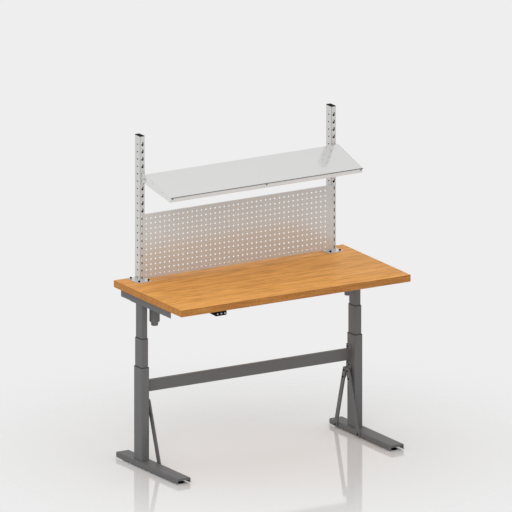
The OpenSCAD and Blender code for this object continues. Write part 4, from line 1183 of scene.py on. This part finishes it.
class WORKBENCH_OT_handset(PieceOperator):
    """Makes the handset's hollow case, with a hole for each button, and the buttons"""

    bl_idname = "workbench.handset"
    bl_label = "Handset"

    def execute(self, context):
        drive = self.settings().drive
        self.case(*span("handset_case"), drive)
        for name in BUTTONS:
            self.button(name, drive)
        return {"FINISHED"}

    def case(self, low, high, drive):
        """A hollow case with a hole for each button in its front wall."""
        outside, inside = (self.shell(low + wall, high - wall, drive, drive.end - wall)
                           for wall in (0, drive.shell))
        case = stand_in("handset_case", [outside, inside])
        cutter = self.cutter(low, drive)
        cut = case.modifiers.new("Button holes", "BOOLEAN")
        cut.operation = "DIFFERENCE"
        cut.solver = "EXACT"
        cut.object = cutter
        depsgraph = bpy.context.evaluated_depsgraph_get()
        mesh = bpy.data.meshes.new_from_object(case.evaluated_get(depsgraph))
        case.modifiers.clear()
        case.data = mesh
        bpy.data.objects.remove(cutter)

    def shell(self, low, high, drive, radius):
        """A closed form whose row at the depth y reaches from floor(y) up to roof(y). At both ends
        the rows are drawn in by what a quarter circle falls short of its own radius."""
        width, depth, height = high - low
        front, back = drive.soft, drive.soft / 3
        swing = 1 - np.cos(np.linspace(0, np.pi / 2, 7))
        middle = np.linspace(front, depth - back, 14)[1:]
        place = np.concatenate([front * swing, middle, depth - back * swing[-2::-1]])
        pinch = front * (1 - np.sqrt(1 - np.clip(1 - place / front, 0, 1) ** 2))
        pinch += back * (1 - np.sqrt(1 - np.clip(1 - (depth - place) / back, 0, 1) ** 2))
        belly = eased([[0, drive.nose], [drive.nose, 0], [depth, 3 * MM]], [front], 6)
        crown = eased([[0, height - drive.brim], [drive.brim, height], [depth, height]], [front], 6)
        floor = np.interp(place, belly[:, 0], belly[:, 1]) + pinch
        roof = np.interp(place, crown[:, 0], crown[:, 1]) - pinch
        outline = rectangle(width, height, radius, 6, (0, height / 2))
        outline[14:] = eased([[width / 2, height / 2], [width / 2, height], [-width / 2, height],
                              [-width / 2, height / 2]], [0.8 * MM, 0.8 * MM], 6)[1:-1]
        rows = np.zeros((len(place), len(outline), 3))
        rows[..., 0] = outline[:, 0] * (1 - 2 * pinch / width)[:, None] + (low + high)[0] / 2
        rows[..., 1] = low[1] + place[:, None]
        rows[..., 2] = low[2] + floor[:, None] + (roof - floor)[:, None] * outline[:, 1] / height
        return capped(rows)

    def cutter(self, low, drive):
        """Rods along Y through the case's front wall, one for each button."""
        reach = drive.button + drive.button_gap
        rod = turned([[reach, -2 * MM], [reach, 3 * MM]], 48)
        grids = []
        for name in BUTTONS:
            centre = sum(span(f"{name}_button")) / 2
            grids.append(placed(rod, [centre[0], low[1], centre[2]], Y, X))
        return linked("cutter", mesh_of("cutter", grids))

    def button(self, mark, drive):
        """A crowned cap on a flange, and its raised mark."""
        node = f"{mark}_button"
        low, high = span(node)
        centre, length = (low + high) / 2, high[1] - low[1]
        flange, reach = (high[0] - low[0]) / 2, drive.button
        rows = eased([[0.5 * flange, 0], [flange, 0], [flange, 1.2 * MM], [reach, 1.2 * MM],
                      [reach, length - 0.5 * MM], [0.6 * reach, length - 0.1 * MM], [0, length]],
                     MM * np.array([0.2, 0.2, 0.2, 0.5, 2.0]), 4)
        seat = [centre[0], high[1], centre[2]]
        stand_in(node, [placed(turned(rows, 48), seat, -Y, X)])
        outlines = {
            "up": [[-2.1, 1.1], [0, -1.6], [2.1, 1.1]],
            "down": [[-2.1, -1.1], [2.1, -1.1], [0, 1.6]],
            "memory": 1.3 * np.stack([np.cos(turn(24)), np.sin(turn(24))], 1),
        }
        outline = eased(np.asarray(outlines[mark]) * MM, 0.25 * MM, 3, closed=True)
        relief = slab(outline, soft_edges(length - 0.6 * MM, length + 0.1 * MM, 0.08 * MM, 2))
        extra(f"{mark}_mark", [placed(relief, seat, -Y, X)], node, "black_plastic")


class WORKBENCH_PT_pieces(Panel):
    """Lists the workbench's operators"""

    bl_idname = "WORKBENCH_PT_pieces"
    bl_label = "Workbench"
    bl_space_type = "VIEW_3D"
    bl_region_type = "UI"
    bl_category = "Workbench"

    def draw(self, context):
        for operator in PIECES:
            self.layout.operator(operator.bl_idname)


GROUPS = (TopSettings, MetalSettings, ShelfSettings, DriveSettings, StageSettings, WorkbenchSettings)
PIECES = (
    WORKBENCH_OT_stage,
    WORKBENCH_OT_finishes,
    WORKBENCH_OT_metalwork,
    WORKBENCH_OT_welds,
    WORKBENCH_OT_worktop,
    WORKBENCH_OT_fasteners,
    WORKBENCH_OT_glides,
    WORKBENCH_OT_motors,
    WORKBENCH_OT_shelf,
    WORKBENCH_OT_upright_caps,
    WORKBENCH_OT_handset,
)


def register():
    for group in (*GROUPS, *PIECES, WORKBENCH_PT_pieces):
        bpy.utils.register_class(group)
    bpy.types.Scene.workbench = PointerProperty(type=WorkbenchSettings)


def unregister():
    del bpy.types.Scene.workbench
    for group in reversed((*GROUPS, *PIECES, WORKBENCH_PT_pieces)):
        bpy.utils.unregister_class(group)


def main():
    register()
    for operator in PIECES:
        group, name = operator.bl_idname.split(".")
        getattr(getattr(bpy.ops, group), name)()


if __name__ == "__main__":
    main()
